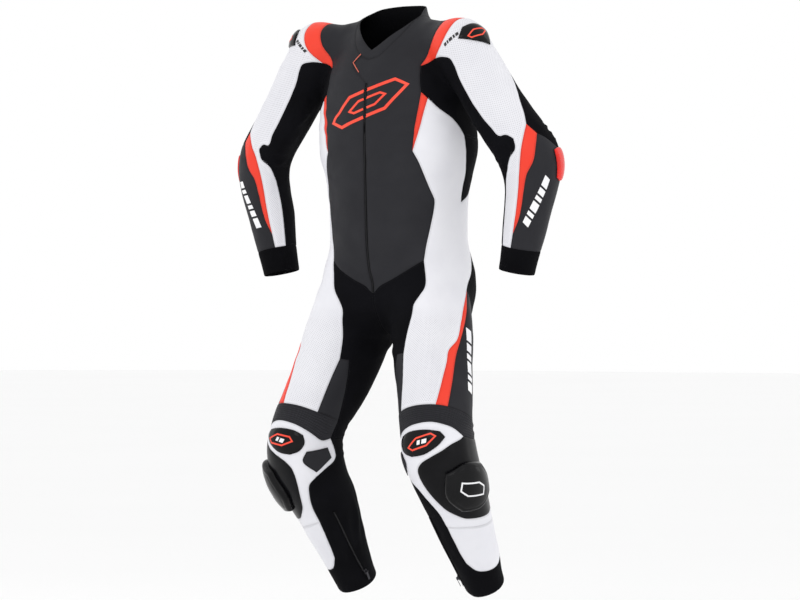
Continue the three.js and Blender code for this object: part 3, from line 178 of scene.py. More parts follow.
# Seams: the first and last corner, the way, and places between.
SEAMS = {
  "neckEdge": ["neckFront", "neckBack", "torso", [10, -58], [25, -37], [44, -15], [68, 6],
    [100, 24], [140, 33]],
  "neckV": ["neckFront", "collarFront", "torso"],
  "neckRear": ["neckBack", "collarBack", "torso"],
  "collarTab": ["collarFront", "tabTop", "torso"],
  "collarEdge": ["tabTop", "collarSide", "front", [46, -62], [63, -37], ["top", 76, -36]],
  "collarRear": ["collarSide", "collarBack", "top", [70, 44], [40, 74]],
  "shoulderSeam": ["collarSide", "shoulderInner", "top", [118, 8]],
  "stripeFront": ["shoulderInner", "stripeTip", "front", ["top", 160, -40], [158, -28],
    [148, -56], [131, -84], [124, -98]],
  "stripeRear": ["shoulderInner", "stripeInnerBack", "top", [156, 24]],
  "stripeEnd": ["stripeInnerBack", "stripeOuterBack", "back"],
  "stripeOuter": ["stripeOuterBack", "stripeFoot", "top", [197, 18], [201, -15], [200, -50],
    ["front", 195, -34], ["front", 180, -66]],
  "stripeBase": ["stripeFoot", "stripeTip", "sleeve"],
  "armholeFront": ["stripeTip", "chestHigh", "torso", [51, -142]],
  "chestTop": ["chestHigh", "sideHigh", "torso"],
  "chestFront": ["chestHigh", "chestLow", "torso", [48.8, -206], [46.3, -243]],
  "chestSide": ["sideHigh", "chestLow", "torso", [52.6, -215], [49.4, -251]],
  "chestChord": ["zipTopSide", "chestHigh", "torso", [18, -152], [36, -160]],
  "centreHigh": ["collarFront", "zipTop", "torso"],
  "tabEdge": ["tabTop", "zipTop", "torso", [20, -102], [7, -132]],
  "zipTopStep": ["zipTop", "zipTopSide", "front"],
  "zipLine": ["zipTop", "zipBottom", "torso"],
  "centreLow": ["zipTopSide", "zipBottomSide", "front", [ZIP_HALF, -300], [ZIP_HALF, -450]],
  "zipBottomStep": ["zipBottom", "zipBottomSide", "front"],
  "hipV": ["zipBottomSide", "vSide", "torso", [12, -598], [23, -587], [36, -568]],
  "backCentre": ["collarBack", "waistBack", "torso", [180, -110], [180, -230], [180, -350]],
  "frontEdge": ["chestLow", "vSide", "torso", [48.5, -319], [53, -350], [57.6, -384],
    [60.6, -405], [60.8, -412], [59.8, -428], [56, -468], [52.8, -505]],
  "armholeSide": ["sideHigh", "underArmFront", "torso", [62, -199], [73, -223], [80, -243]],
  "armholeUnder": ["underArmFront", "underArmBack", "torso", [104, -270]],
  "armholeRear": ["underArmBack", "armBackLow", "back", [160, -205]],
  "armholeHigh": ["armBackLow", "armBackHigh", "back", [179, -106]],
  "armholeTop": ["armBackHigh", "stripeOuterBack", "back"],
  "armpitFront": ["stripeTip", "armpitMid", "armpit", ["front", 164, -139], [186, -28]],
  "armpitRear": ["armpitMid", "armBackLow", "back", [179, -153]],
  "meshFrontEdge": ["underArmFront", "meshFront", "torso", [89, -307], [93, -342], [92, -377]],
  "meshLow": ["meshFront", "meshBack", "torso", [112, -388]],
  "meshRear": ["underArmBack", "meshBack", "torso", [127, -320]],
  "sideRear": ["meshBack", "waistSide", "torso", [129, -430]],
  "waist": ["waistSide", "waistBack", "torso", [150, -474]],
  "sideLow": ["waistSide", "hipTip", "torso", [116, -505], [103, -536], [93, -575]],
  "hipLine": ["vSide", "hipTip", "leg", [25, 22], [52, 42]],
  "sideSeam": ["meshFront", "hipTip", "torso", [89, -449], [87, -496], [88, -560]],
  "whiteInner": ["vSide", "patchFront", "leg", [-7, 63], [-11, 77], [-21, 95], [-30, 112],
    [-34, 135], [-43, 172]],
  "patchTop": ["patchFront", "patchBack", "leg"],
  "patchSide": ["patchFront", "ribPatchFront", "leg", [-52, 260], [-54, 306]],
  "patchRear": ["patchBack", "ribInner", "leg", [-78, 253], [-89, 294], [-96, 329]],
  "crotchFront": ["zipBottom", "crotchBack", "crotch", [50], [78]],
  "crotchRear": ["crotchBack", "waistBack", "crotch", [128], [150], [172], [190]],
  "crotchSeam": ["crotchBack", "seatInner", "leg"],
  "thighHigh": ["seatInner", "innerThigh", "leg"],
  "thighLow": ["innerThigh", "kneeBack", "leg", [-140, 300]],
  "innerChord": ["patchBack", "innerThigh", "leg", [-100, 213]],
  "seatLow": ["hipTip", "seatInner", "leg", [110, 92], [150, 122], [180, 135]],
  "redFront": ["hipTip", "ribStripeFront", "leg", [62, 109], [52, 149], [44, 190], [28, 217],
    [25, 243], [18, 294]],
  "redBack": ["hipTip", "ribStripeBack", "leg", [70, 110], [61, 145], [51, 187], [44, 225],
    [41, 268], [38, 300]],
  "ribTopPatch": ["ribInner", "ribPatchFront", "leg", [-76, 345]],
  "ribTopWhite": ["ribPatchFront", "ribStripeFront", "leg", [-25, 342]],
  "ribTopRed": ["ribStripeFront", "ribStripeBack", "leg"],
  "ribTopOuter": ["ribStripeBack", "ribOuter", "leg", [58, 355], [79, 363]],
  "ribSideInner": ["ribInner", "kneeInner", "leg"],
  "ribSideOuter": ["ribOuter", "kneeOuter", "leg"],
  "ribLow": ["kneeInner", "frameTip", "leg", [-77, 402], [-56, 388], [-32, 377], [-10, 374],
    [6, 375], [22, 380], [39, 388]],
  "ribLowOuter": ["frameTip", "kneeOuter", "leg", [80, 415]],
  "kneeRearOuter": ["kneeOuter", "kneeBack", "leg", [130, 402], [180, 390]],
  "kneeRearInner": ["kneeBack", "kneeInner", "leg", [-118, 396]],
  "frameEdge": ["kneeInner", "frameInner", "leg", [-105, 428], [-107, 450], [-100, 462], [-82, 471]],
  "frameCut": ["frameInner", "slideInner", "leg"],
  "slideTop": ["frameTip", "slideInner", "leg", [50, 412], [33, 418], [18, 426], [0, 434],
    [-17, 443], [-26, 455]],
  "slideFront": ["slideInner", "slideLow", "leg", [-26, 490], [-20, 515], [-10, 545]],
  "slideBottom": ["slideLow", "slideBack", "leg", [14, 580], [30, 590], [55, 603], [81, 612]],
  "slideRear": ["kneeOuter", "slideBack", "leg", [104, 520]],
  "shinEdgeHigh": ["frameInner", "shinInner", "leg", [-45, 494], [-36, 519], [-28, 552]],
  "frameStep": ["shinInner", "slideLow", "leg"],
  "frameBack": ["slideBack", "shinBack", "leg"],
  "shinSeam": ["shinInner", "shinBack", "leg", [5, 603], [40, 620], [75, 634]],
  "shinEdge": ["shinInner", "shinLowInner", "leg", [-24, 636], [-21, 676]],
  "shinLow": ["shinLowInner", "shinLowBack", "leg", [0, 730], [20, 740], [40, 745], [70, 747]],
  "shinRear": ["shinBack", "shinLowBack", "leg", [106, 700]],
  "hemDropInner": ["shinLowInner", "hemInner", "leg"],
  "hemDropBack": ["shinLowBack", "hemBack", "leg"],
  "hemFront": ["hemInner", "hemBack", "leg", [40, 806]],
  "hemRear": ["hemBack", "hemInner", "leg", [160, 806], [220, 806], [280, 806]],
  "whiteHigh": ["stripeFoot", "elbowKink", "sleeve",
    [-28, 10], [-12, 27], [-12, 45], [-18, 75], [-21, 120], [-21, 180], [-19, 212],
      [-19.5, 231], [-17, 239], [-9, 243], [-4, 247]],
  "whiteLow": ["elbowKink", "wristInner", "sleeve", [-3, 281], [-9, 289], [-21, 297],
    [-27, 305], [-36, 328], [-46, 360], [-52, 395], [-54, 440]],
  "whiteRear": ["armBackHigh", "redTop", "sleeve", [124, 108], [97, 153], [77, 185], [57, 228]],
  "elbowChord": ["elbowKink", "redTop", "sleeve"],
  "redInner": ["redTop", "redEnd", "sleeve", [24, 266], [6, 291], [-7, 330], [-12, 370],
    [-11, 418], [-11, 455]],
  "redShort": ["redTop", "elbowFront", "sleeve"],
  "redOuter": ["elbowFront", "redEnd", "sleeve", [40, 290], [26, 320], [8, 347], [2, 381],
    [2, 418], [-1, 450]],
  "redDrop": ["redEnd", "wristOuter", "sleeve"],
  "elbowSeam": ["elbowFront", "elbowBack", "sleeve", [100, 300], [150, 305]],
  "sleeveRearHigh": ["armBackLow", "elbowBack", "sleeve", [-170, 160], [-170, 230]],
  "sleeveRearLow": ["elbowBack", "wristBack", "sleeve", [-170, 400]],
  "wristFront": ["wristInner", "wristOuter", "sleeve"],
  "wristSide": ["wristOuter", "wristBack", "sleeve", [40, 513], [100, 513], [150, 513]],
  "wristRear": ["wristBack", "wristInner", "sleeve", [-130, 513], [-90, 513]],
  "cuffFront": ["cuffInner", "cuffOuter", "sleeve"],
  "cuffSide": ["cuffOuter", "cuffBack", "sleeve", [40, 568], [100, 568], [150, 568]],
  "cuffRear": ["cuffBack", "cuffInner", "sleeve", [-130, 568], [-90, 568]],
  "cuffDrop": ["wristBack", "cuffBack", "sleeve"],
}

# The same for the pieces that lie on the panels.
TOP_CORNERS = {
  "insertTopInner": ["leg", -44, 393],
  "insertTopOuter": ["leg", 18, 393],
  "insertSide": ["leg", 25, 404],
  "insertLow": ["leg", -28, 430],
  "patchHigh": ["leg", -51, 424],
  "patchRear": ["leg", -88, 419],
  "patchCorner": ["leg", -96, 447],
  "patchLow": ["leg", -62, 471],
  "domeTopInner": ["leg", 13, 466],
  "domeTopOuter": ["leg", 78, 472],
  "domeLowOuter": ["leg", 80, 551],
  "domeLowInner": ["leg", 13, 551],
  "shoulderTop": ["sleeve", 46, -16],
  "shoulderFront": ["sleeve", 25, 3],
  "shoulderLow": ["sleeve", 88, 44],
  "shoulderRear": ["sleeve", 112, 8],
  "elbowHighFront": ["sleeve", 82, 306],
  "elbowHighBack": ["sleeve", 126, 308],
  "elbowLowBack": ["sleeve", 122, 354],
  "elbowLowFront": ["sleeve", 86, 354],
  "calfHighRear": ["leg", -69, 580],
  "calfHighFront": ["leg", -60, 580],
  "calfLowRear": ["leg", -90, 792],
  "calfLowFront": ["leg", -80, 792],
}

TOP_SEAMS = {
  "insertTop": ["insertTopInner", "insertTopOuter", "leg", [-30, 387], [-5, 387]],
  "insertOuter": ["insertTopOuter", "insertSide", "leg"],
  "insertBottom": ["insertSide", "insertLow", "leg", [14, 416], [-8, 428]],
  "insertInner": ["insertLow", "insertTopInner", "leg", [-42, 422], [-48, 407]],
  "sidePatchTop": ["patchHigh", "patchRear", "leg"],
  "sidePatchRear": ["patchRear", "patchCorner", "leg"],
  "sidePatchLow": ["patchCorner", "patchLow", "leg"],
  "sidePatchFront": ["patchLow", "patchHigh", "leg", [-45, 442]],
  "domeTop": ["domeTopInner", "domeTopOuter", "leg", [46, 457]],
  "domeOuter": ["domeTopOuter", "domeLowOuter", "leg", [90, 511]],
  "domeBottom": ["domeLowOuter", "domeLowInner", "leg", [47, 566]],
  "domeInner": ["domeLowInner", "domeTopInner", "leg", [1, 508]],
  "shoulderEdgeFront": ["shoulderTop", "shoulderFront", "sleeve"],
  "shoulderEdgeLow": ["shoulderFront", "shoulderLow", "sleeve", [50, 22]],
  "shoulderEdgeRear": ["shoulderLow", "shoulderRear", "sleeve"],
  "shoulderEdgeTop": ["shoulderRear", "shoulderTop", "sleeve", [80, -14]],
  "elbowTop": ["elbowHighFront", "elbowHighBack", "sleeve", [104, 302]],
  "elbowRear": ["elbowHighBack", "elbowLowBack", "sleeve"],
  "elbowLow": ["elbowLowBack", "elbowLowFront", "sleeve", [104, 360]],
  "elbowFrontEdge": ["elbowLowFront", "elbowHighFront", "sleeve"],
  "calfTop": ["calfHighRear", "calfHighFront", "leg"],
  "calfFront": ["calfHighFront", "calfLowFront", "leg", [-62, 612], [-65, 678], [-73, 751]],
  "calfLow": ["calfLowFront", "calfLowRear", "leg"],
  "calfRear": ["calfLowRear", "calfHighRear", "leg", [-82, 751], [-74, 678], [-71, 612]],
}

# Panels: a look, then patches. A patch has a way, a start angle and its four sides, each a list of seams.
PANELS = {
  "chest_stripe": ["red", ["torso", 45, ["chestTop"], ["chestSide"], [], ["chestFront"]]],
  "side_panel": ["white",
    ["torso", 60, ["armholeSide"], ["meshFrontEdge", "sideSeam"], ["hipLine"], ["frontEdge",
      "chestSide"]],
    ["leg", 30, ["hipLine"], ["redFront"], ["ribTopWhite"], ["patchSide", "whiteInner"]],
    ["torso", 90, ["meshLow"], ["sideRear", "sideLow"], [], ["sideSeam"]]],
  "side_stretch": ["stretch", ["torso", 100, ["armholeUnder"], ["meshRear"], ["meshLow"],
    ["meshFrontEdge"]]],
  "shoulder_stripe": ["red", ["flat", 0, ["stripeEnd"], ["stripeOuter"], ["stripeBase"],
    ["stripeFront", "stripeRear"]]],
  "sleeve_outer": ["white",
    ["sleeve", 60, ["stripeOuter"], ["whiteHigh"], ["elbowChord"], ["whiteRear", "armholeTop"]],
    ["sleeve", 20, ["elbowChord"], ["whiteLow"], ["wristFront"], ["redDrop", "redInner"]]],
  "sleeve_stripe": ["red", ["sleeve", 30, ["redShort"], ["redOuter"], [], ["redInner"]]],
  "sleeve_back": ["stretch", ["sleeve", 120, ["armholeHigh"], ["whiteRear"], ["redShort",
    "elbowSeam"], ["sleeveRearHigh"]]],
  "sleeve_inner": ["stretch",
    ["torso", 50, ["armholeFront", "chestTop"], ["armholeSide", "armholeUnder"], ["armholeRear"],
      ["armpitRear", "armpitFront"]],
    ["sleeve", -60, ["stripeBase", "armpitFront", "armpitRear"], ["sleeveRearHigh",
      "sleeveRearLow"], ["wristRear"],
      ["whiteLow", "whiteHigh"]]],
  "forearm_outer": ["leather", ["sleeve", 60, ["elbowSeam"], ["sleeveRearLow"], ["wristSide"],
    ["redDrop", "redOuter"]]],
  "cuff": ["stretch",
    ["sleeve", -170, ["wristRear", "wristFront", "wristSide"], ["cuffDrop"], ["cuffSide",
      "cuffFront", "cuffRear"],
      ["cuffDrop"]]],
  "thigh_inner": ["stretch",
    ["leg", -20, ["hipV"], ["whiteInner", "patchTop"], ["innerChord"],
      ["thighHigh", "crotchSeam", "crotchFront", "zipBottomStep"]],
    ["leg", -70, ["innerChord"], ["patchRear", "ribSideInner"], ["kneeRearInner"], ["thighLow"]]],
  "thigh_patch": ["leather", ["leg", -60, ["patchTop"], ["patchRear"], ["ribTopPatch"],
    ["patchSide"]]],
  "thigh_stripe": ["red", ["leg", 70, [], ["redBack"], ["ribTopRed"], ["redFront"]]],
  "thigh_outer": ["leather",
    ["leg", 90, ["seatLow"], ["thighHigh", "thighLow"], ["kneeRearOuter", "ribSideOuter",
      "ribTopOuter"], ["redBack"]]],
  "knee_frame": ["white",
    ["leg", 50, ["ribLow"], ["frameEdge"], ["frameCut"], ["slideTop"]],
    ["leg", -50, ["frameCut"], ["slideFront"], ["frameStep"], ["shinEdgeHigh"]],
    ["leg", -10, ["frameStep"], ["slideBottom"], ["frameBack"], ["shinSeam"]]],
  "slider_base": ["stretch", ["leg", 50, ["ribLowOuter"], ["slideRear"], ["slideBottom"],
    ["slideFront", "slideTop"]]],
  "shin_front": ["white", ["leg", 0, ["shinSeam"], ["shinRear"], ["shinLow"], ["shinEdge"]]],
  "calf": ["stretch",
    ["leg", 100, ["kneeRearOuter", "kneeRearInner"],
      ["frameEdge", "shinEdgeHigh", "shinEdge", "hemDropInner"], ["hemRear"],
      ["hemDropBack", "shinRear", "frameBack", "slideRear"]],
    ["leg", 0, ["shinLow"], ["hemDropBack"], ["hemFront"], ["hemDropInner"]]],
}

CENTRE_PANELS = {
  "collar": ["leather",
    ["torso", 0, ["collarTab", "collarEdge", "collarRear"], ["neckRear"], ["neckEdge"], ["neckV"]]],
  "back_panel": ["leather",
    ["flat", 0, ["collarRear", "shoulderSeam", "stripeRear"],
      ["stripeEnd", "armholeTop", "armholeHigh", "armholeRear", "meshRear", "sideRear"],
      ["waist"], ["backCentre"]]],
  "seat_panel": ["stretch", ["leg", 180, ["waist"], ["sideLow"], ["seatLow", "crotchSeam"],
    ["crotchRear"]]],
  "front_zip": ["zip", ["flat", 0, ["zipTopStep"], ["centreLow"], ["zipBottomStep"], ["zipLine"]]],
}

# Pieces on the panels: a look, lift, rim and height in mm, and one patch.
TOPS = {
  "knee_insert": ["gloss", LIFT, 1.8, 3, ["leg", -44, ["insertTop"], ["insertOuter"],
    ["insertBottom"], ["insertInner"]]],
  "knee_side_patch": ["leather", 1.2, 1.6, 1, ["leg", -50, ["sidePatchTop"], ["sidePatchRear"],
    ["sidePatchLow"], ["sidePatchFront"]]],
  "knee_slider": ["gloss", LIFT, 5, 13, ["leg", 18, ["domeTop"], ["domeOuter"], ["domeBottom"],
    ["domeInner"]]],
  "shoulder_insert": ["gloss", LIFT, 2, 4,
    ["sleeve", 46, ["shoulderEdgeFront"], ["shoulderEdgeLow"], ["shoulderEdgeRear"],
      ["shoulderEdgeTop"]]],
  "elbow_armour": ["gloss", 1.2, 3, 6, ["sleeve", 82, ["elbowTop"], ["elbowRear"], ["elbowLow"],
    ["elbowFrontEdge"]]],
}


# The form that all panels lie on.
def curve(xs, ys, x):
    """A smooth curve through a table's values, level at both ends."""
    xs = np.asarray(xs, float)
    ys = np.asarray(ys, float)
    x = np.asarray(x, float)
    if xs[0] > xs[-1]:
        xs = -xs
        x = -x
    x = np.clip(x, xs[0], xs[-1])
    i = np.clip(np.searchsorted(xs, x, side="right") - 1, 0, len(xs) - 2)
    slope = np.zeros(len(xs))
    slope[1:-1] = (ys[2:] - ys[:-2]) / (xs[2:] - xs[:-2])
    h = xs[i + 1] - xs[i]
    t = (x - xs[i]) / h
    rise = (1 + 2 * t) * (1 - t) ** 2 * ys[i] + t * t * (3 - 2 * t) * ys[i + 1]
    return rise + t * (1 - t) ** 2 * h * slope[i] + t * t * (t - 1) * h * slope[i + 1]


def blended(a, b, k):
    """The smaller of two distances, rounded over where they meet."""
    h = np.clip(0.5 + 0.5 * (b - a) / k, 0, 1)
    return b * (1 - h) + a * h - k * h * (1 - h)


def torso_field(p):
    """Distance out of the torso, below 0 inside it. It closes as a dome above the neck and below the hips."""
    x, y, z = p[:, 0], p[:, 1], p[:, 2]
    mid = curve(TORSO["z"], TORSO["mid"], z)
    side = curve(TORSO["z"], TORSO["side"], z)
    dy = y - mid
    front = curve(TORSO["z"], TORSO["front"], z) + mid
    back = curve(TORSO["z"], TORSO["back"], z) - mid
    depth = np.where(dy < 0, front, back)
    over = np.maximum(z - 60, 0) + np.maximum(-600 - z, 0)
    r = np.hypot(x, dy) + 1e-9
    rho = ((np.abs(x) / side) ** 2.3 + (np.abs(dy) / depth) ** 2.3) ** (1 / 2.3)
    flat = r - r / np.maximum(rho, 1e-6)
    dome = np.where(z > 0, 10.0, 110.0)
    whole = np.hypot(r, over)
    capped = whole - whole / np.maximum(np.hypot(rho, over / dome), 1e-6)
    return np.where(over > 0, capped, flat)


def row_dot(a, b):
    return np.einsum("ij,ij->i", a, b)


def unit(v):
    return v / np.maximum(np.linalg.norm(v, axis=-1, keepdims=True), 1e-12)


class Limb:
    """An axis of two straight parts with a rounded bend, and rings across it."""

    def __init__(self, sizes):
        self.s = sizes
        self.a, self.b, self.c = [np.array(j, float) for j in sizes["joints"]]
        self.upper = np.linalg.norm(self.b - self.a)
        self.t1 = unit(self.b - self.a)
        self.t2 = unit(self.c - self.b)
        turn = math.radians(sizes["turn"])
        self.ref = np.array([math.sin(turn), -math.cos(turn), 0.0])

    def axis(self, d):
        e = (d - self.upper)[:, None]
        r = self.s["bend"]
        straight = self.b + np.where(e < 0, e * self.t1, e * self.t2)
        u = np.clip((e + r) / (2 * r), 0, 1)
        enter = self.b - r * self.t1
        leave = self.b + r * self.t2
        rounded = (1 - u) ** 2 * enter + 2 * u * (1 - u) * self.b + u * u * leave
        return np.where(np.abs(e) < r, rounded, straight)

    def frame(self, d):
        r = self.s["bend"]
        u = np.clip((d[:, None] - self.upper + r) / (2 * r), 0, 1)
        t = unit(self.t1 * (1 - u) + self.t2 * u)
        front = unit(self.ref - t * (t @ self.ref)[:, None])
        return t, front, np.cross(front, t)

    def place(self, p):
        """Degrees round the limb from its front to its outer side, mm down it, mm from its axis."""
        e1 = np.minimum((p - self.a) @ self.t1, self.upper)
        e2 = np.maximum((p - self.b) @ self.t2, 0)
        far1 = np.linalg.norm(p - (self.a + e1[:, None] * self.t1), axis=1)
        far2 = np.linalg.norm(p - (self.b + e2[:, None] * self.t2), axis=1)
        d = np.where(far1 < far2, e1, self.upper + e2)
        for _ in range(5):
            t = self.frame(d)[0]
            d = d + np.clip(row_dot(p - self.axis(d), t), -60, 60) * 0.8
        _, front, outer = self.frame(d)
        q = p - self.axis(d)
        v = row_dot(q, front)
        u = row_dot(q, outer)
        return np.degrees(np.arctan2(u, v)), d, np.hypot(u, v)

    def at(self, angle, d, r):
        _, front, outer = self.frame(d)
        a = np.radians(angle)
        return self.axis(d) + r[:, None] * (np.cos(a)[:, None] * front + np.sin(a)[:, None] * outer)

    def ring(self, angle, d):
        s = self.s
        c = np.cos(np.radians(angle))
        n = np.sin(np.radians(angle))
        value = {k: curve(s["down"], s[k], d) for k in ("front", "back", "outer", "inner",
                 "frontOuter", "frontInner", "backOuter", "backInner")}
        ahead = np.where(c > 0, value["front"], value["back"])
        aside = np.where(n > 0, value["outer"], value["inner"])
        corner = np.where(c > 0, np.where(n > 0, value["frontOuter"], value["frontInner"]),
                          np.where(n > 0, value["backOuter"], value["backInner"]))
        return 1 / np.hypot(c / ahead, n / aside) + corner * (2 * c * n) ** 2

    def field(self, p):
        s = self.s
        angle, d, r = self.place(p)
        base = self.ring(angle, np.maximum(d, s["topRing"]))
        over = np.maximum(s["topRing"] - d, 0)
        whole = np.hypot(r, over) + 1e-9
        capped = whole - whole / np.maximum(np.hypot(r / base, over / s["topDome"]), 1e-6)
        return np.where(over > 0, capped, np.maximum(r - base, d - s["end"]))


sleeve = Limb(SLEEVE)
leg = Limb(LEG)


def shoulder_field(p):
    start = np.array(SHOULDER["start"], float)
    along = np.array(SHOULDER["end"], float) - start
    t = np.clip(((p - start) @ along) / (along @ along), 0, 1)
    reach = SHOULDER["startRadius"] + (SHOULDER["endRadius"] - SHOULDER["startRadius"]) * t
    return np.linalg.norm(p - (start + t[:, None] * along), axis=1) - reach


def seat_field(p):
    q = p - np.array(SEAT["centre"], float)
    radii = np.array(SEAT["radii"], float)
    k0 = np.linalg.norm(q / radii, axis=1)
    k1 = np.linalg.norm(q / (radii * radii), axis=1)
    return k0 * (k0 - 1) / np.maximum(k1, 1e-9)


def body(points):
    """Distance out of the whole form. Each part is worked out only near it."""
    p = np.array(points, float)
    p[:, 0] = np.abs(p[:, 0])
    f = np.full(len(p), 1e3)
    m = p[:, 2] > -800
    f[m] = torso_field(p[m])
    m = p[:, 2] > -300
    f[m] = blended(f[m], shoulder_field(p[m]), FOLD_OUT)
    m = (p[:, 0] > 50) & (p[:, 2] > -680)
    f[m] = blended(f[m], sleeve.field(p[m]), FOLD_OUT)
    m = p[:, 2] < -420
    f[m] = blended(f[m], blended(leg.field(p[m]), seat_field(p[m]), HIP_BLEND), HIP_BLEND)
    return f


def gradient(p):
    h = 0.5
    g = np.empty(p.shape)
    for i in range(3):
        e = np.zeros(3)
        e[i] = h
        g[:, i] = (body(p + e) - body(p - e)) / (2 * h)
    g[np.abs(p[:, 0]) < 1e-9, 0] = 0
    return g


def settle(p, rounds=6):
    """The nearest places on the form. Points of the middle plane stay in it."""
    q = np.array(p, float)
    for _ in range(rounds):
        f = body(q)
        todo = np.abs(f) > 1e-3
        if not todo.any():
            break
        g = gradient(q[todo])
        move = -np.clip(f[todo], -25, 25) / np.maximum(row_dot(g, g), 0.05)
        q[todo] += g * move[:, None]
    return q


def outward(p):
    return unit(gradient(p))


def cast(starts, directions, reach=300.0):
    """The first places where straight lines enter or leave the form."""
    t = np.arange(0, reach + 4, 4.0)
    spots = starts[:, None] + t[None, :, None] * directions[:, None]
    inside = (body(spots.reshape(-1, 3)) < 0).reshape(len(starts), len(t))
    changed = inside != inside[:, :1]
    k = np.where(changed.any(1), changed.argmax(1), len(t) - 1)
    lo, hi = t[k] - 4, t[k]
    for _ in range(12):
        m = (lo + hi) / 2
        same = (body(starts + m[:, None] * directions) < 0) == inside[:, 0]
        lo = np.where(same, m, lo)
        hi = np.where(same, hi, m)
    return starts + hi[:, None] * directions


def facing(angle):
    """1 at the front of a limb, 0 behind it."""
    return 0.5 + 0.5 * math.cos(math.radians(angle))


def turned(table, key, angle, v, side, share):
    return angle + side * float(curve(table[key], table["degrees"], v)) * share


def line_to(way, a, b, side):
    """Start and direction of the line that finds a place, for one of the ways to name it."""
    if way == "torso":
        t = math.radians(turned(HIP_TWIST, "z", a, b, side, math.sin(math.radians(a)) ** 2))
        x = 0.0 if a % 180 == 0 else math.sin(t)
        return [0, TORSO_AXIS_Y, b], [x, -math.cos(t), 0]
    if way in ("leg", "sleeve"):
        limb, table = (leg, LEG_TWIST) if way == "leg" else (sleeve, SLEEVE_TWIST)
        t = turned(table, "down", a, b, side, facing(a))
        d = np.array([float(b)])
        start = limb.at(np.array([t]), d, np.array([0.0]))[0]
        ahead = limb.at(np.array([t]), d, np.array([10.0]))[0]
        return start, unit(ahead - start)
    if way == "crotch":
        t = math.radians(a)
        return [0, TORSO_AXIS_Y, -560], [0, -math.cos(t), -math.sin(t)]
    if way == "front":
        return [a, -260, b], [0, 1, 0]
    if way == "back":
        return [a, 260, b], [0, -1, 0]
    if way == "top":
        return [a, b, 90], [0, 0, -1]
    return [a, b, -260], [0, 0, 1]


def place_all(specs, side):
    lines = [line_to(s[0], s[1], s[2] if len(s) > 2 else side, side) for s in specs]
    raw = cast(np.array([v[0] for v in lines], float), np.array([v[1] for v in lines], float))
    raw[np.abs(raw[:, 0]) < 1e-6, 0] = 0
    return settle(raw)


def through(points, step):
    """Evenly spaced points on a centripetal Catmull-Rom curve."""
    p = np.asarray(points, float)
    if len(p) == 2:
        count = max(1, round(np.linalg.norm(p[1] - p[0]) / step))
        t = np.linspace(0, 1, count + 1)[:, None]
        return p[0] * (1 - t) + p[1] * t
    first = p[0] * 2 - p[1]
    last = p[-1] * 2 - p[-2]
    q = np.vstack([first, p, last])
    out = []
    for i in range(1, len(q) - 2):
        p0, p1, p2, p3 = q[i - 1:i + 3]
        d0, d1, d2 = [max(np.linalg.norm(b - a), 1e-4) ** 0.5 for a, b in ((p0, p1), (p1, p2), (p2, p3))]
        m1 = ((p1 - p0) / d0 - (p2 - p0) / (d0 + d1) + (p2 - p1) / d1) * d1
        m2 = ((p2 - p1) / d1 - (p3 - p1) / (d1 + d2) + (p3 - p2) / d2) * d1
        t = np.linspace(0, 1, 25)[:-1, None]
        out.append((2 * t ** 3 - 3 * t ** 2 + 1) * p1 + (t ** 3 - 2 * t ** 2 + t) * m1
                   + (3 * t ** 2 - 2 * t ** 3) * p2 + (t ** 3 - t ** 2) * m2)
    dense = np.vstack(out + [p[-1:]])
    reach = lengths(dense)
    count = max(1, round(reach[-1] / step))
    return spread(reach, dense, np.linspace(0, reach[-1], count + 1))


def stitch_net(side, corners, seams, step):
    """All seams of one side, as rows of points on the form."""
    names = list(corners)
    spots = dict(zip(names, place_all([corners[n] for n in names], side)))
    specs = []
    for start, end, way, *between in seams.values():
        specs.append([v if isinstance(v[0], str) else [way, *v] for v in between])
    flat = [s for group in specs for s in group]
    found = place_all(flat, side)
    rows = {}
    k = 0
    parts = []
    for (name, (start, end, *_)), group in zip(seams.items(), specs):
        guides = found[k:k + len(group)]
        k += len(group)
        points = np.vstack([spots[start][None], guides.reshape(-1, 3), spots[end][None]])
        middle = (points[:, 0] == 0).all()
        row = through(points, step)
        if middle:
            row[:, 0] = 0
        parts.append((name, start, end, row))
    every = settle(np.vstack([row for _, _, _, row in parts]))
    k = 0
    for name, start, end, row in parts:
        points = every[k:k + len(row)]
        k += len(row)
        points[0] = spots[start]
        points[-1] = spots[end]
        rows[name] = (start, end, points)
    return rows


def walk(rows, sides):
    """Joins the seams of a loop end to end: the four sides' points, and where each seam is on its side."""
    loop = [name for side in sides for name in side]
    first = rows[loop[0]]
    second = rows[loop[1]]
    at = first[0] if first[1] in second[:2] else first[1]
    out = []
    spans = []
    for names in sides:
        points = []
        span = []
        reach = 0.0
        for name in names:
            start, end, row = rows[name]
            if at not in (start, end):
                raise ValueError(name + " doesn't follow at " + at)
            ahead = start == at
            along = row if ahead else row[::-1]
            at = end if start == at else start
            points.append(along if not points else along[1:])
            span.append((name, reach, reach + lengths(along)[-1], ahead))
            reach = span[-1][2]
        out.append(np.vstack(points) if points else None)
        spans.append(span)
    return out, spans


def to_chart(way, p):
    """Places as degrees round, mm down or up, and mm out, or as they are."""
    if way == "flat":
        return p.copy()
    if way == "torso":
        angle = np.degrees(np.arctan2(p[:, 0], TORSO_AXIS_Y - p[:, 1]))
        return np.stack([angle, p[:, 2], np.hypot(p[:, 0], p[:, 1] - TORSO_AXIS_Y)], 1)
    limb = leg if way == "leg" else sleeve
    return np.stack(limb.place(p), 1)


def from_chart(way, q):
    if way == "flat":
        return q
    if way == "torso":
        a = np.radians(q[:, 0])
        return np.stack([q[:, 2] * np.sin(a), TORSO_AXIS_Y - q[:, 2] * np.cos(a), q[:, 1]], 1)
    limb = leg if way == "leg" else sleeve
    return limb.at(q[:, 0], q[:, 1], q[:, 2])


def lengths(p):
    """How far along a row of points each one lies."""
    return np.concatenate([[0], np.cumsum(np.linalg.norm(np.diff(p, axis=0), axis=1))])


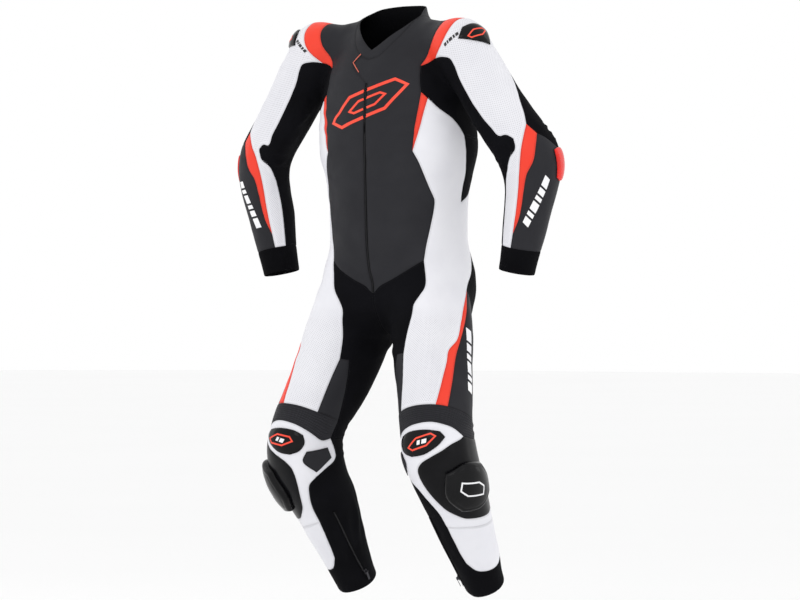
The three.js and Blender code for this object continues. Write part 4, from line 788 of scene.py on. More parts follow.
def spread(share, values, t):
    """Rows of values read at the places t."""
    return np.stack([np.interp(t, share, values[:, k]) for k in range(values.shape[1])], 1)


def graded(length, step):
    """Even shares of a length, with a few closer ones near both ends where the edge rolls down."""
    near = np.array([0, 1.2, 2.8, 5.0])
    if length < 24:
        return np.linspace(0, 1, max(2, round(length / step * 1.4)) + 1)
    count = max(2, round((length - 16) / step))
    middle = np.linspace(8, length - 8, count + 1)
    return np.concatenate([near, middle, length - near[::-1]]) / length


def with_shared(values, span, opposite, shared):
    """Grid values along a side, with the points that a neighbour already has on a shared seam."""
    total = span[-1][2]
    at = (1 - values if opposite else values) * total
    for name, low, high, ahead in span:
        if name not in shared:
            continue
        given = shared[name]
        if given is None:
            for stop in (low, high):
                if 1e-6 < stop < total - 1e-6 and np.abs(at - stop).min() > 1e-9:
                    at[np.abs(at - stop).argmin()] = stop
        else:
            own = given if ahead else 1 - given
            at = np.concatenate([at[(at < low - 0.8) | (at > high + 0.8)], low + own * (high - low)])
    at = np.sort(at) / total
    return np.sort(1 - at) if opposite else at


def seam_values(g, name):
    """Where a grid's points lie along one of its seams, from the seam's first end, or None."""
    for k in range(4):
        for seam, low, high, ahead in g["spans"][k]:
            if seam == name:
                total = g["spans"][k][-1][2]
                values = g["s"] if k in (0, 2) else g["t"]
                at = (values if k < 2 else 1 - values) * total
                own = (at[(at > low - 1e-6) & (at < high + 1e-6)] - low) / (high - low)
                return np.sort(own if ahead else 1 - own)
    return None


def patch(rows, way, start, sides, step, s=None, t=None, shared=None):
    """One four-sided patch as a grid of points on the form. Its rows run along the first side."""
    loop, spans = walk(rows, sides)
    before = float(start)
    quarters = []
    for points in loop:
        if points is None:
            quarters.append(None)
            continue
        q = to_chart(way, points)
        if way != "flat":
            for i in range(len(q)):
                q[i, 0] += 360 * round((before - q[i, 0]) / 360)
                before = q[i, 0]
        quarters.append((points, q))
    for i in range(4):
        if quarters[i] is None:
            p, q = quarters[(i + 3) % 4]
            quarters[i] = (np.vstack([p[-1], p[-1]]), np.vstack([q[-1], q[-1]]))
    a, b = quarters[0], quarters[1]
    c = tuple(v[::-1] for v in quarters[2])
    d = tuple(v[::-1] for v in quarters[3])
    size = [lengths(v[0])[-1] for v in (a, b, c, d)]
    if s is None:
        s = graded((size[0] + size[2]) / 2, step)
        for k in (0, 2):
            if spans[k] and shared:
                s = with_shared(s, spans[k], k == 2, shared)
    if t is None:
        t = graded((size[1] + size[3]) / 2, step)
        for k in (1, 3):
            if spans[k] and shared:
                t = with_shared(t, spans[k], k == 3, shared)
    share = [lengths(v[0]) / max(lengths(v[0])[-1], 1e-9) for v in (a, b, c, d)]
    for v in share:
        if v[-1] < 0.5:
            v[:] = np.linspace(0, 1, len(v))
    A, C = spread(share[0], a[1], s), spread(share[2], c[1], s)
    B, D = spread(share[1], b[1], t), spread(share[3], d[1], t)
    S, T = np.meshgrid(s, t)
    Sx = S[..., None]
    Tx = T[..., None]
    grid = ((1 - Tx) * A[None] + Tx * C[None] + (1 - Sx) * D[:, None] + Sx * B[:, None]
            - ((1 - Sx) * (1 - Tx) * A[0] + Sx * (1 - Tx) * A[-1]
               + Sx * Tx * C[-1] + (1 - Sx) * Tx * C[0]))
    P = settle(from_chart(way, grid.reshape(-1, 3))).reshape(len(t), len(s), 3)
    P[0], P[-1] = spread(share[0], a[0], s), spread(share[2], c[0], s)
    P[:, 0], P[:, -1] = spread(share[3], d[0], t), spread(share[1], b[0], t)
    return {"P": P, "s": s, "t": t, "way": way, "spans": spans}


NETS = {}
for label, side in (("left", 1), ("right", -1)):
    NETS[label] = {
        "panels": stitch_net(side, CORNERS, SEAMS, SEAM_STEP),
        "tops": stitch_net(side, TOP_CORNERS, TOP_SEAMS, SEAM_STEP / 2),
    }


# Folds. Each is a line between two places, a width and a height, and how far it bows sideways.
FOLDS = [
  ["sleeve", -75, 30, -25, 125, 10, 1.5, 6],
  ["sleeve", -85, 60, -25, 170, 9, 1.3, 6],
  ["sleeve", -100, 95, -35, 205, 9, 1.2, 4],
  ["sleeve", -70, 246, 0, 268, 6, 1.6, 4],
  ["sleeve", -80, 268, 5, 286, 5, 1.8, -3],
  ["sleeve", -75, 292, 10, 300, 6, 1.5, 3],
  ["sleeve", -60, 316, 5, 312, 6, 1.0, 0],
  ["sleeve", 20, 60, 80, 105, 14, 0.8, 6],
  ["sleeve", 10, 150, 70, 190, 16, 0.8, -6],
  ["sleeve", 25, 385, 75, 372, 12, 0.9, 5],
  ["torso", 62, -150, 92, -215, 12, 1.6, 8],
  ["torso", 60, -190, 90, -262, 12, 1.2, 6],
  ["torso", 52, -330, 92, -300, 18, 1.1, 6],
  ["torso", 48, -392, 95, -372, 18, 1.3, -6],
  ["torso", 60, -450, 100, -420, 18, 1.2, 5],
  ["torso", 6, -330, 38, -352, 20, 0.8, 5],
  ["torso", 4, -430, 40, -412, 20, 0.8, -5],
  ["torso", 10, -520, 45, -490, 16, 1.0, 5],
  ["torso", 8, -170, 40, -200, 22, 0.8, 6],
  ["leg", -50, 40, 10, 10, 12, 1.6, 6],
  ["leg", -62, 70, -5, 45, 12, 1.4, 6],
  ["leg", -70, 110, -20, 95, 12, 1.0, 6],
  ["leg", 20, 110, 62, 70, 18, 1.2, 6],
  ["leg", -10, 180, 40, 150, 20, 0.8, 8],
  ["leg", 0, 270, 45, 246, 20, 0.7, 8],
  ["leg", -30, 330, 30, 322, 16, 0.8, 6],
  ["leg", -20, 612, 25, 600, 10, 1.0, 3],
  ["leg", -15, 668, 30, 650, 12, 0.9, 4],
  ["leg", -95, 590, -78, 720, 8, 1.4, 6],
  ["leg", -120, 560, -100, 700, 9, 1.5, -6],
  ["leg", -62, 640, -50, 740, 8, 1.0, 3],
  ["torso", 150, -180, 110, -250, 16, 1.3, 8],
  ["torso", 152, -260, 112, -330, 16, 1.2, 8],
  ["torso", 168, -420, 120, -392, 16, 1.6, 6],
  ["torso", 168, -456, 118, -440, 14, 1.7, -6],
  ["leg", 150, 60, 95, 110, 16, 1.6, 8],
  ["leg", 170, 110, 110, 150, 16, 1.5, 8],
]
# Loose groups of small folds: middle, reach round and down, how many, tilt, length, width and height.
GATHERS = [
  ["sleeve", -40, 282, 45, 26, 7, 0, 46, 4.5, 1.0],
  ["sleeve", 128, 268, 28, 30, 9, 8, 44, 5.0, 1.7],
  ["sleeve", 60, 150, 120, 110, 10, 55, 60, 11, 0.6],
  ["sleeve", 60, 430, 120, 60, 8, 60, 50, 8, 0.7],
  ["sleeve", -170, 120, 60, 80, 8, 50, 60, 8, 1.2],
  ["leg", 172, 415, 55, 50, 14, 4, 78, 7, 2.0],
  ["leg", -100, 130, 35, 70, 7, 30, 90, 11, 1.6],
  ["leg", 178, 640, 80, 110, 12, 75, 90, 10, 1.2],
  ["leg", -100, 660, 40, 90, 6, 78, 80, 8, 1.0],
  ["leg", 90, 200, 60, 130, 8, 60, 90, 14, 0.8],
  ["torso", 180, -260, 70, 150, 12, 60, 110, 15, 1.0],
  ["torso", 25, -300, 60, 220, 10, 35, 100, 18, 0.5],
]
RIB_COUNT = 9
RIB_HEIGHT = 1.2
EDGE_DROP = 1.3
EDGE_REACH = 7.0
SEED = 11


def flipped(p, label):
    """Points of the left side, or the right, from those of the left."""
    return p * np.array([-1.0 if label == "right" else 1.0, 1.0, 1.0])


def fold_table():
    """All folds of both sides: middle, direction, sideways, outward, half length, width, height and bow."""
    rng = np.random.default_rng(SEED)
    rows = []
    for label, side in (("left", 1), ("right", -1)):
        lines = [list(f) for f in FOLDS]
        for way, a, b, reach_a, reach_b, count, tilt, length, width, height in GATHERS:
            round_mm = {"sleeve": 58, "leg": 80, "torso": 160}[way]
            for _ in range(count):
                mid_a = a + reach_a * rng.uniform(-1, 1)
                mid_b = b + reach_b * rng.uniform(-1, 1) * (-1 if way == "torso" else 1)
                turn = math.radians(tilt + rng.uniform(-14, 14))
                half = length * rng.uniform(0.35, 0.6)
                da = math.degrees(half * math.cos(turn) / round_mm)
                db = half * math.sin(turn)
                lines.append([way, mid_a - da, mid_b - db, mid_a + da, mid_b + db,
                              width * rng.uniform(0.8, 1.2), height * rng.uniform(0.6, 1.15),
                              rng.uniform(-5, 5)])
        first = place_all([f[:3] for f in lines], side)
        last = place_all([[f[0], f[3], f[4]] for f in lines], side)
        middle = settle((first + last) / 2)
        n = outward(middle)
        along = last - first
        along -= n * row_dot(along, n)[:, None]
        half = np.linalg.norm(along, axis=1) / 2
        u = unit(along)
        for k, f in enumerate(lines):
            lift = f[6] * (1 if label == "left" else rng.uniform(0.8, 1.15))
            rows.append([flipped(v, label) for v in (middle[k], u[k], np.cross(n[k], u[k]), n[k])]
                        + [half[k], f[5], lift, f[7]])
    return rows


def waves(rng, count, low, high, height):
    """Long soft waves in all directions."""
    direction = unit(rng.normal(size=(count, 3)))
    size = rng.uniform(low, high, count)
    phase = rng.uniform(0, 6.28, count)
    return direction * (2 * math.pi / size)[:, None], phase, height / math.sqrt(count / 2)


FOLD_ROWS = fold_table()
WAVES = [waves(np.random.default_rng(SEED + 1), 9, 80, 150, 0.55),
         waves(np.random.default_rng(SEED + 2), 12, 26, 44, 0.13)]


def wrinkle(p):
    """How far the cloth stands out from the smooth form, in mm."""
    w = np.zeros(len(p))
    for direction, phase, height in WAVES:
        w += np.sin(p @ direction.T + phase).sum(1) * height
    for middle, u, v, n, half, width, height, bow in FOLD_ROWS:
        q = p - middle
        near = np.nonzero((np.abs(q) < half + 4 * width).all(1))[0]
        if not len(near):
            continue
        q = q[near]
        s = (q @ u) / half
        x = (q @ v - bow * (1 - s * s)) / width
        fade = np.clip(1 - s * s, 0, 1) ** 2 * np.exp(-((q @ n) / 45) ** 2)
        w[near] += height * fade * (1 - x * x) * np.exp(-x * x / 2)
    return w


class Edge:
    """The true rim of a piece, to measure how far inside it a place is."""

    def __init__(self, rows):
        points = np.vstack([through(r, 1.0) if len(r) == 2 else resampled(r, 1.0) for r in rows])
        self.tree = KDTree(len(points))
        for i, p in enumerate(points):
            self.tree.insert(p, i)
        self.tree.balance()

    def far(self, p):
        return np.array([self.tree.find(v)[2] for v in p])


def resampled(row, step):
    """Evenly spaced points along a row."""
    reach = lengths(row)
    return spread(reach, row, np.linspace(0, reach[-1], max(2, round(reach[-1] / step))))


def edge_dip(far):
    """The cloth rolls down into its seams."""
    x = np.clip(far / EDGE_REACH, 0, 1)
    return -EDGE_DROP * (1 - np.sqrt(1 - (1 - x) ** 2))


# Meshes.
collection = bpy.context.scene.collection


def mesh_object(name, points, faces, materials, slots=None, uvs=None, masks=None, sharp=50):
    mesh = bpy.data.meshes.new(name)
    mesh.from_pydata([tuple(v) for v in np.asarray(points) * MM], [], faces)
    for m in materials:
        mesh.materials.append(m)
    if slots is not None:
        mesh.polygons.foreach_set("material_index", slots)
    if uvs is not None:
        layer = mesh.uv_layers.new(name="cloth")
        layer.data.foreach_set("uv", np.asarray(uvs, np.float32).ravel())
    for key, values in (masks or {}).items():
        attribute = mesh.attributes.new(key, "FLOAT", "POINT")
        attribute.data.foreach_set("value", np.asarray(values, np.float32))
    mesh.polygons.foreach_set("use_smooth", [True] * len(mesh.polygons))
    mesh.set_sharp_from_angle(angle=math.radians(sharp))
    mesh.update()
    obj = bpy.data.objects.new(name, mesh)
    collection.objects.link(obj)
    return obj


def chart_uv(way, p):
    """Hundredths of millimetres across and down the cloth."""
    q = to_chart(way, p)
    if way == "flat":
        return q[:, [0, 2]] * 0.01
    reach = {"torso": 160.0, "leg": 85.0, "sleeve": 60.0}[way]
    angle = q[:, 0] % 360 if way == "torso" else q[:, 0]
    return np.stack([np.radians(angle) * reach, q[:, 1]], 1) * 0.01


def fill(label, spec, step, kind="panels", s=None, t=None, shared=None):
    way, start, *sides = spec
    grid = patch(NETS[label][kind], way, start, sides, step, s, t, shared)
    grid["label"] = label
    return grid


def outer_seams(grids):
    """The seams of a piece that lie on its rim, by side and name."""
    count = {}
    for g in grids:
        for span in g["spans"]:
            for name, *_ in span:
                key = (g["label"], name)
                count[key] = count.get(key, 0) + 1
    centre = any(g["label"] != grids[0]["label"] for g in grids)
    out = set()
    for (label, name), times in count.items():
        row = NETS[label][grids[0].get("kind", "panels")][name][2]
        if times > 1 or (centre and np.abs(row[:, 0]).max() < 1e-6):
            continue
        out.add((label, name))
    return out


def rim_flags(g, outer):
    """For each grid edge on the four sides, whether it lies on the rim."""
    flags = []
    for k in range(4):
        values = g["s"] if k in (0, 2) else g["t"]
        mids = (values[1:] + values[:-1]) / 2
        span = g["spans"][k]
        if not span:
            flags.append(np.zeros(len(mids), bool))
            continue
        at = (mids if k < 2 else 1 - mids) * span[-1][2]
        flag = np.zeros(len(mids), bool)
        for name, low, high, _ in span:
            if (g["label"], name) in outer:
                flag |= (at >= low) & (at <= high)
        flags.append(flag)
    return flags


def grid_quads(ids):
    """The four corners of each cell of a grid of numbers."""
    return np.stack([ids[:-1, :-1], ids[:-1, 1:], ids[1:, 1:], ids[1:, :-1]], -1).reshape(-1, 4)


def cloth(name, grids, top, base, materials, dip=True, kind="panels", mask=None, wave=1.0, sharp=50):
    """A closed piece from grids on the form. top and base say how far its faces lie outside it."""
    for g in grids:
        g["kind"] = kind
    outer = outer_seams(grids)
    edge = Edge([flipped(NETS[label][kind][seam][2], label) for label, seam in sorted(outer)])
    points = []
    normals = []
    uvs = []
    charts = []
    for g in grids:
        flat = g["P"].reshape(-1, 3)
        normals.append(flipped(outward(flat), g["label"]))
        points.append(flipped(flat, g["label"]))
        uvs.append(chart_uv(g["way"], flat))
        charts.append(np.full(len(flat), {"torso": 0, "leg": 1, "sleeve": 2, "flat": 3}[g["way"]]))
    every = np.vstack(points)
    _, first, index = np.unique(np.round(every / 0.02).astype(np.int64), axis=0,
                                return_index=True, return_inverse=True)
    index = index.reshape(-1)
    P = every[first]
    N = np.vstack(normals)[first]
    far = edge.far(P)
    w = wrinkle(P) * wave
    rise = w + (edge_dip(far) if dip else 0)
    ST = np.vstack([np.stack(np.meshgrid(g["s"], g["t"]), -1).reshape(-1, 2) for g in grids])[first]
    facts = {"P": P, "far": far, "ST": ST, "chart": np.concatenate(charts)[first]}
    over = top(facts) if callable(top) else top
    under = base(facts) if callable(base) else base
    over = rise + over
    under = w + under
    count = len(P)
    verts = np.vstack([P + N * np.broadcast_to(over, (count,))[:, None],
                       P + N * np.broadcast_to(under, (count,))[:, None]])
    faces = []
    slots = []
    loops = []
    start = 0
    for g, own, uv in zip(grids, points, uvs):
        rows, columns = g["P"].shape[:2]
        ids = index[start:start + rows * columns].reshape(rows, columns)
        start += rows * columns
        local = np.arange(rows * columns).reshape(rows, columns)
        quads = grid_quads(ids)
        places = grid_quads(local)
        a, b, c, d = P[quads[:, 0]], P[quads[:, 1]], P[quads[:, 2]], P[quads[:, 3]]
        turn = np.cross(c - a, d - b)
        forward = np.einsum("ij,ij->", turn, N[quads[:, 0]]) > 0
        if not forward:
            quads = quads[:, ::-1]
            places = places[:, ::-1]
        for quad, place in zip(quads.tolist(), places.tolist()):
            if len(set(quad)) < 4:
                kept = [k for k in range(4) if quad[k] != quad[k - 1]]
                if len(kept) < 3 or len({quad[k] for k in kept}) < 3:
                    continue
                quad = [quad[k] for k in kept]
                place = [place[k] for k in kept]
            faces.append(quad)
            loops.extend(uv[k] for k in place)
            slots.append(0)
            faces.append([v + count for v in reversed(quad)])
            loops.extend(uv[k] for k in reversed(place))
            slots.append(1)
        flags = rim_flags(g, outer)
        sides = [(ids[0], local[0], True), (ids[:, -1], local[:, -1], True),
                 (ids[-1], local[-1], False), (ids[:, 0], local[:, 0], False)]
        for (line, spot, ahead), flag in zip(sides, flags):
            for k in np.nonzero(flag)[0]:
                x, y = (line[k], line[k + 1]) if ahead == forward else (line[k + 1], line[k])
                if x == y:
                    continue
                faces.append([int(y), int(x), int(x) + count, int(y) + count])
                loops.extend([uv[spot[k]]] * 4)
                slots.append(0)
    masks = {"edge_distance": np.tile(far, 2)}
    if mask is not None:
        masks["perforated"] = np.tile(mask(facts), 2)
    obj = mesh_object(name, verts, faces, materials, slots, loops, masks, sharp)
    obj["form_area"] = float(sum(
        np.linalg.norm(np.cross(P[q[2]] - P[q[0]], P[q[-1]] - P[q[1]])) / 2
        for q, s in zip(faces, slots) if s == 0 and max(q) < count))
    STITCH_JOBS.append((name, grids, outer))
    SIZES[name] = cut_size(grids)
    return obj


STITCH_JOBS = []
SIZES = {}


def cut_size(grids):
    """Width and length of the flat cut in metres, from the longest row and the longest columns."""
    across = 0.0
    down = 0.0
    labels = sorted({g["label"] for g in grids})
    for label in labels:
        own = [g for g in grids if g["label"] == label]
        across += max(lengths(row)[-1] for g in own for row in g["P"])
        tall = [max(lengths(g["P"][:, k])[-1] for k in range(g["P"].shape[1])) for g in own]
        down = max(down, sum(tall))
    return across * MM, down * MM


# Materials. Patterns run on object coordinates, in metres, or on the cloth's own map in hundredths of mm.
def srgb(r, g, b):
    """A colour as shader nodes take it, from screen values up to 255."""
    levels = [((c / 255 + 0.055) / 1.055) ** 2.4 if c > 10 else c / 255 / 12.92 for c in (r, g, b)]
    return (*levels, 1.0)


def scaled(colour, share, lift=0.0):
    """A colour made darker or lighter."""
    return tuple(min(c * share + lift, 1) for c in colour[:3]) + (1.0,)


class Nodes:
    """A short way to join shader nodes."""

    def __init__(self, name):
        self.material = bpy.data.materials.new(name)
        self.material.use_nodes = True
        self.tree = self.material.node_tree
        self.shader = self.tree.nodes["Principled BSDF"]
        self.place = self.add("ShaderNodeTexCoord").outputs["Object"]

    def add(self, kind, **values):
        node = self.tree.nodes.new(kind)
        for key, value in values.items():
            setattr(node, key, value)
        return node

    def join(self, source, target):
        if isinstance(source, (int, float)):
            target.default_value = source
        else:
            self.tree.links.new(source, target)

    def math(self, operation, a, b=0.0, c=None):
        node = self.add("ShaderNodeMath", operation=operation)
        self.join(a, node.inputs[0])
        self.join(b, node.inputs[1])
        if c is not None:
            self.join(c, node.inputs[2])
        return node.outputs[0]

    def noise(self, scale, detail=2.0, rough=0.5):
        node = self.add("ShaderNodeTexNoise")
        self.join(self.place, node.inputs["Vector"])
        node.inputs["Scale"].default_value = scale
        node.inputs["Detail"].default_value = detail
        node.inputs["Roughness"].default_value = rough
        return node.outputs["Fac"]

    def cells(self, scale, feature="F1", place=None, loose=1.0):
        node = self.add("ShaderNodeTexVoronoi", feature=feature)
        self.join(place or self.place, node.inputs["Vector"])
        node.inputs["Scale"].default_value = scale
        node.inputs["Randomness"].default_value = loose
        return node.outputs["Distance"]

    def level(self, value, low, high, out_low, out_high):
        node = self.add("ShaderNodeMapRange")
        self.join(value, node.inputs["Value"])
        for key, v in (("From Min", low), ("From Max", high), ("To Min", out_low), ("To Max", out_high)):
            node.inputs[key].default_value = v
        return node.outputs["Result"]

    def mix(self, share, a, b):
        node = self.add("ShaderNodeMix", data_type="RGBA")
        self.join(share, node.inputs["Factor"])
        for source, target in ((a, node.inputs["A"]), (b, node.inputs["B"])):
            if isinstance(source, tuple):
                target.default_value = source
            else:
                self.join(source, target)
        return node.outputs["Result"]

    def bump(self, height, distance, strength=1.0, normal=None):
        node = self.add("ShaderNodeBump")
        node.inputs["Strength"].default_value = strength
        node.inputs["Distance"].default_value = distance
        self.join(height, node.inputs["Height"])
        if normal is not None:
            self.join(normal, node.inputs["Normal"])
        return node.outputs["Normal"]

    def mask(self, name):
        return self.add("ShaderNodeAttribute", attribute_name=name).outputs["Fac"]

    def set(self, **values):
        for key, value in values.items():
            socket = self.shader.inputs[key.replace("_", " ")]
            if isinstance(value, (int, float, tuple)):
                socket.default_value = value
            else:
                self.join(value, socket)
        return self


def leather(name, colour, worn, rough, grain=1.0, holes=None, shine=0.42):
    """Full-grain leather: fine pebbles, faint clouding, and painted shade that darkens it by the seams."""
    n = Nodes(name)
    cloud = n.noise(9, 3)
    fine = n.noise(120, 2)
    tone = n.mix(n.level(cloud, 0.3, 0.7, 0, 1), colour, worn)
    # Painted shade: the colour darkens within 5 mm of each seam, where the cloth rolls down into it.
    edge = n.level(n.mask("edge_distance"), 0.0, 5.0, 0.55, 0.0)
    shade = scaled(colour, 0.62)
    tone = n.mix(edge, tone, shade)
    pebbles = n.cells(720)
    creases = n.cells(260, "DISTANCE_TO_EDGE")
    raised = n.math("MULTIPLY", pebbles, -0.5)
    height = n.math("ADD", raised, n.math("MULTIPLY", n.level(creases, 0, 0.12, 0, 1), 0.35))
    height = n.math("ADD", height, n.math("MULTIPLY", fine, 0.5))
    normal = n.bump(height, 0.00022 * grain, 0.55)
    if holes is not None:
        turn = n.add("ShaderNodeMapping")
        n.join(n.add("ShaderNodeUVMap", uv_map="cloth").outputs["UV"], turn.inputs["Vector"])
        turn.inputs["Rotation"].default_value = (0, 0, math.radians(45))
        dots = n.cells(100 / holes, place=turn.outputs["Vector"], loose=0.0)
        hole = n.math("MULTIPLY", n.level(dots, 0.17, 0.25, 1, 0), n.mask("perforated"))
        tone = n.mix(n.math("MULTIPLY", hole, 0.6), tone, scaled(colour, 0.35))
        normal = n.bump(n.math("SUBTRACT", 1.0, hole), 0.0005, 0.6, normal=normal)
    rub = n.level(n.noise(34, 3), 0.35, 0.75, rough - 0.05, rough + 0.08)
    n.set(Base_Color=tone, Roughness=rub, Normal=normal, Specular_IOR_Level=shine)
    return n.material


def knit(name, colour, light, pitch=1.6, holes=False):
    """Stretch cloth: fine ribs along the map, rough and barely shiny, with painted shade in the grooves
    between the ribs.
    """
    n = Nodes(name)
    uv = n.add("ShaderNodeUVMap", uv_map="cloth").outputs["UV"]
    split = n.add("ShaderNodeSeparateXYZ")
    n.join(uv, split.inputs["Vector"])
    turn = 2 * math.pi * 100 / pitch
    across = n.math("SINE", n.math("MULTIPLY", split.outputs["X"], turn))
    down = n.math("SINE", n.math("MULTIPLY", split.outputs["Y"], turn * 1.35))
    weave = n.math("MULTIPLY", across, down)
    cloud = n.noise(14, 2)
    fuzz = n.noise(900, 2)
    tone = n.mix(n.level(cloud, 0.3, 0.7, 0.0, 1.0), colour, light)
    # Painted shade: the colour darkens in the low parts of the weave, the grooves between the ribs.
    tone = n.mix(n.level(weave, -1, 1, 0.35, 0.0), tone, scaled(colour, 0.5))
    height = n.math("ADD", n.math("MULTIPLY", weave, 0.4), n.math("MULTIPLY", fuzz, 0.5))
    normal = n.bump(height, 0.0003, 0.5)
    if holes:
        turn_map = n.add("ShaderNodeMapping")
        n.join(uv, turn_map.inputs["Vector"])
        turn_map.inputs["Rotation"].default_value = (0, 0, math.radians(45))
        dots = n.cells(100 / 3.6, place=turn_map.outputs["Vector"], loose=0.0)
        hole = n.level(dots, 0.2, 0.3, 1, 0)
        tone = n.mix(n.math("MULTIPLY", hole, 0.8), tone, (0.001, 0.001, 0.001, 1))
        normal = n.bump(n.math("SUBTRACT", 1.0, hole), 0.0006, 0.8, normal=normal)
    n.set(Base_Color=tone, Roughness=0.82, Normal=normal, Specular_IOR_Level=0.05)
    return n.material


def hard(name, colour, rough, coat=0.6, scuff=0.12, metal=0.0, shine=0.5):
    """Moulded plastic or metal: a faint flow mark, fine scuffs in the roughness and a clear coat."""
    n = Nodes(name)
    scratches = n.noise(160, 4, 0.7)
    flow = n.noise(18, 2)
    tone = n.mix(n.level(flow, 0.3, 0.7, 0, 1), colour, scaled(colour, 1.35, 0.002))
    rub = n.level(scratches, 0.35, 0.75, rough, rough + scuff)
    normal = n.bump(n.noise(60, 2), 0.0002, 0.1)
    n.set(Base_Color=tone, Roughness=rub, Normal=normal, Coat_Weight=coat, Coat_Roughness=0.06,
          Metallic=metal, Specular_IOR_Level=shine)
    return n.material


LOOKS = {
  "leather": leather("leather_charcoal", srgb(37, 37, 41), srgb(43, 43, 47), 0.56, shine=0.14),
  "white": leather("leather_white", srgb(238, 238, 243), srgb(230, 230, 236), 0.5, 0.8, holes=4.0),
  "red": leather("leather_red", srgb(246, 62, 36), srgb(240, 54, 30), 0.5, 0.8),
  "stretch": knit("stretch_black", srgb(12, 12, 15), srgb(17, 17, 21)),
  "mesh": knit("stretch_mesh", srgb(14, 14, 17), srgb(20, 20, 24), holes=True),
  "rubber": hard("slider_base_shine", srgb(7, 7, 10), 0.3, 0.12, 0.04, shine=0.08),
  "gloss": hard("gloss_black", srgb(6, 6, 8), 0.1, 0.2, 0.05, shine=0.08),
  "red_plate": hard("gloss_red", srgb(214, 30, 20), 0.25, 0.25, shine=0.25),
  "cuff": knit("cuff_black", srgb(9, 9, 12), srgb(14, 14, 17), 2.4),
  "lining": knit("lining_black", srgb(12, 12, 14), srgb(18, 18, 21), 2.2),
  "zip": knit("zip_tape", srgb(10, 10, 12), srgb(16, 16, 18), 1.0),
  "teeth": hard("zip_teeth", srgb(34, 34, 37), 0.32, 0.3, 0.1, 0.6),
  "metal": hard("zip_metal", srgb(58, 58, 62), 0.3, 0.3, 0.15, 0.9),
  "print_red": hard("print_red", srgb(250, 66, 40), 0.45, 0.1, 0.1),
  "print_white": hard("print_white", srgb(240, 240, 244), 0.45, 0.1, 0.1),
  "print_dark": hard("print_dark", srgb(22, 22, 25), 0.45, 0.1, 0.1),
  "piping": leather("piping_salmon", srgb(246, 128, 104), srgb(240, 110, 88), 0.5, 0.6),
  "thread_dark": leather("thread_dark", srgb(30, 30, 33), srgb(24, 24, 27), 0.6, 0.5),
  "thread_white": leather("thread_white", srgb(226, 226, 232), srgb(214, 214, 222), 0.6, 0.5),
  "thread_red": leather("thread_red", srgb(214, 40, 24), srgb(200, 34, 20), 0.6, 0.5),
}


# The panels.
def made(node, obj):
    """A finished piece is hung on the root and stands in for its solid, which is hidden."""
    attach(obj, "root")
    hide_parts(node)
    return obj


def panel_grids(label, specs, step=PANEL_STEP, values=None, joined=()):
    """Grids that share a seam get the same points along it."""
    names = [{n for side in spec[2:] for n in side} for spec in specs]
    common = {n for own in names for n in own if sum(n in other for other in names) > 1} | set(joined)
    grids = []
    for k, (spec, own) in enumerate(zip(specs, names)):
        if values is not None:
            grids.append(fill(label, spec, step, s=values[k]["s"], t=values[k]["t"]))
            continue
        shared = {}
        for name in common & own:
            found = [seam_values(g, name) for g in grids]
            found = [v for v in found if v is not None]
            shared[name] = found[0] if found else None
        grids.append(fill(label, spec, step, shared=shared))
    return grids


def punched(facts):
    """The white cloth is perforated on the sleeve and the upper thigh, clear of the seams."""
    z = facts["P"][:, 2]
    thigh = np.clip((-z - 640) / 40, 0, 1) * np.clip((900 + z) / 40, 0, 1)
    region = np.where(facts["chart"] == 2, 1.0, thigh)
    region = np.where(np.isin(facts["chart"], [1, 2]), region, 0.0)
    return region * np.clip((facts["far"] - 5) / 3, 0, 1)


CLOTH = {}
WORDS = {}


def panel(name, grids, word, **values):
    obj = cloth(name + "_cloth", grids, values.pop("top", 0.0), -THICKNESS, [LOOKS[word], LOOKS["lining"]],
                mask=punched if word == "white" else None, **values)
    made(name, obj)
    CLOTH[name] = obj
    WORDS[name] = word
    return obj


RELOOK = {"side_stretch": "mesh", "slider_base": "rubber", "cuff": "cuff"}
for label in ("left", "right"):
    for name, (word, *specs) in PANELS.items():
        panel(name + "_" + label, panel_grids(label, specs), RELOOK.get(name, word),
              wave=0.3 if name in ("slider_base", "knee_frame") else 1.0)
for name, (word, *specs) in CENTRE_PANELS.items():
    half = panel_grids("left", specs)
    panel(name, half + panel_grids("right", specs, values=half), word,
          top=-1.4 if name == "front_zip" else 0.0)

FRONT_HIGH = ["flat", 0, ["shoulderSeam"], ["stripeFront", "armholeFront"], ["chestChord"]]
FRONT_LOW = ["torso", 0, ["chestChord"], ["chestFront", "frontEdge"], ["hipV"], ["centreLow"]]
INNER_HIGH = ["zipTopStep", "centreHigh", "collarTab", "collarEdge"]
left = panel_grids("left", [[*FRONT_HIGH, INNER_HIGH], FRONT_LOW], joined=["centreHigh"])
tab = fill("right", ["flat", 0, ["collarTab"], ["tabEdge"], [], ["centreHigh"]], PANEL_STEP,
           shared={"centreHigh": seam_values(left[0], "centreHigh")})
panel("front_panel_left", left + [tab], "leather")
panel("front_panel_right",
      panel_grids("right", [[*FRONT_HIGH, ["zipTopStep", "tabEdge", "collarEdge"]], FRONT_LOW]), "leather")


# The accordion band over the knee.
def ribs(facts):
    s, t = facts["ST"].T
    fade = np.clip(np.minimum(s, 1 - s) / 0.06, 0, 1)
    return RIB_HEIGHT * (np.abs(np.sin(t * RIB_COUNT * math.pi)) ** 0.8 - 0.45) * fade


RIB_SPEC = ["leg", -99, ["ribTopPatch", "ribTopWhite", "ribTopRed", "ribTopOuter"], ["ribSideOuter"],
            ["ribLowOuter", "ribLow"], ["ribSideInner"]]
for label in ("left", "right"):
    band = fill(label, RIB_SPEC, 4.0, t=np.linspace(0, 1, RIB_COUNT * 8 + 1))
    panel("knee_rib_" + label, [band], "leather", top=ribs, wave=0.5)


# Hard pieces on the panels.
def dome(facts):
    s, t = facts["ST"].T
    return np.sqrt(np.clip(16 * s * (1 - s) * t * (1 - t), 0, 1))


def rounded(far, radius):
    x = np.clip(far / radius, 0, 1)
    return np.sqrt(1 - (1 - x) ** 2)


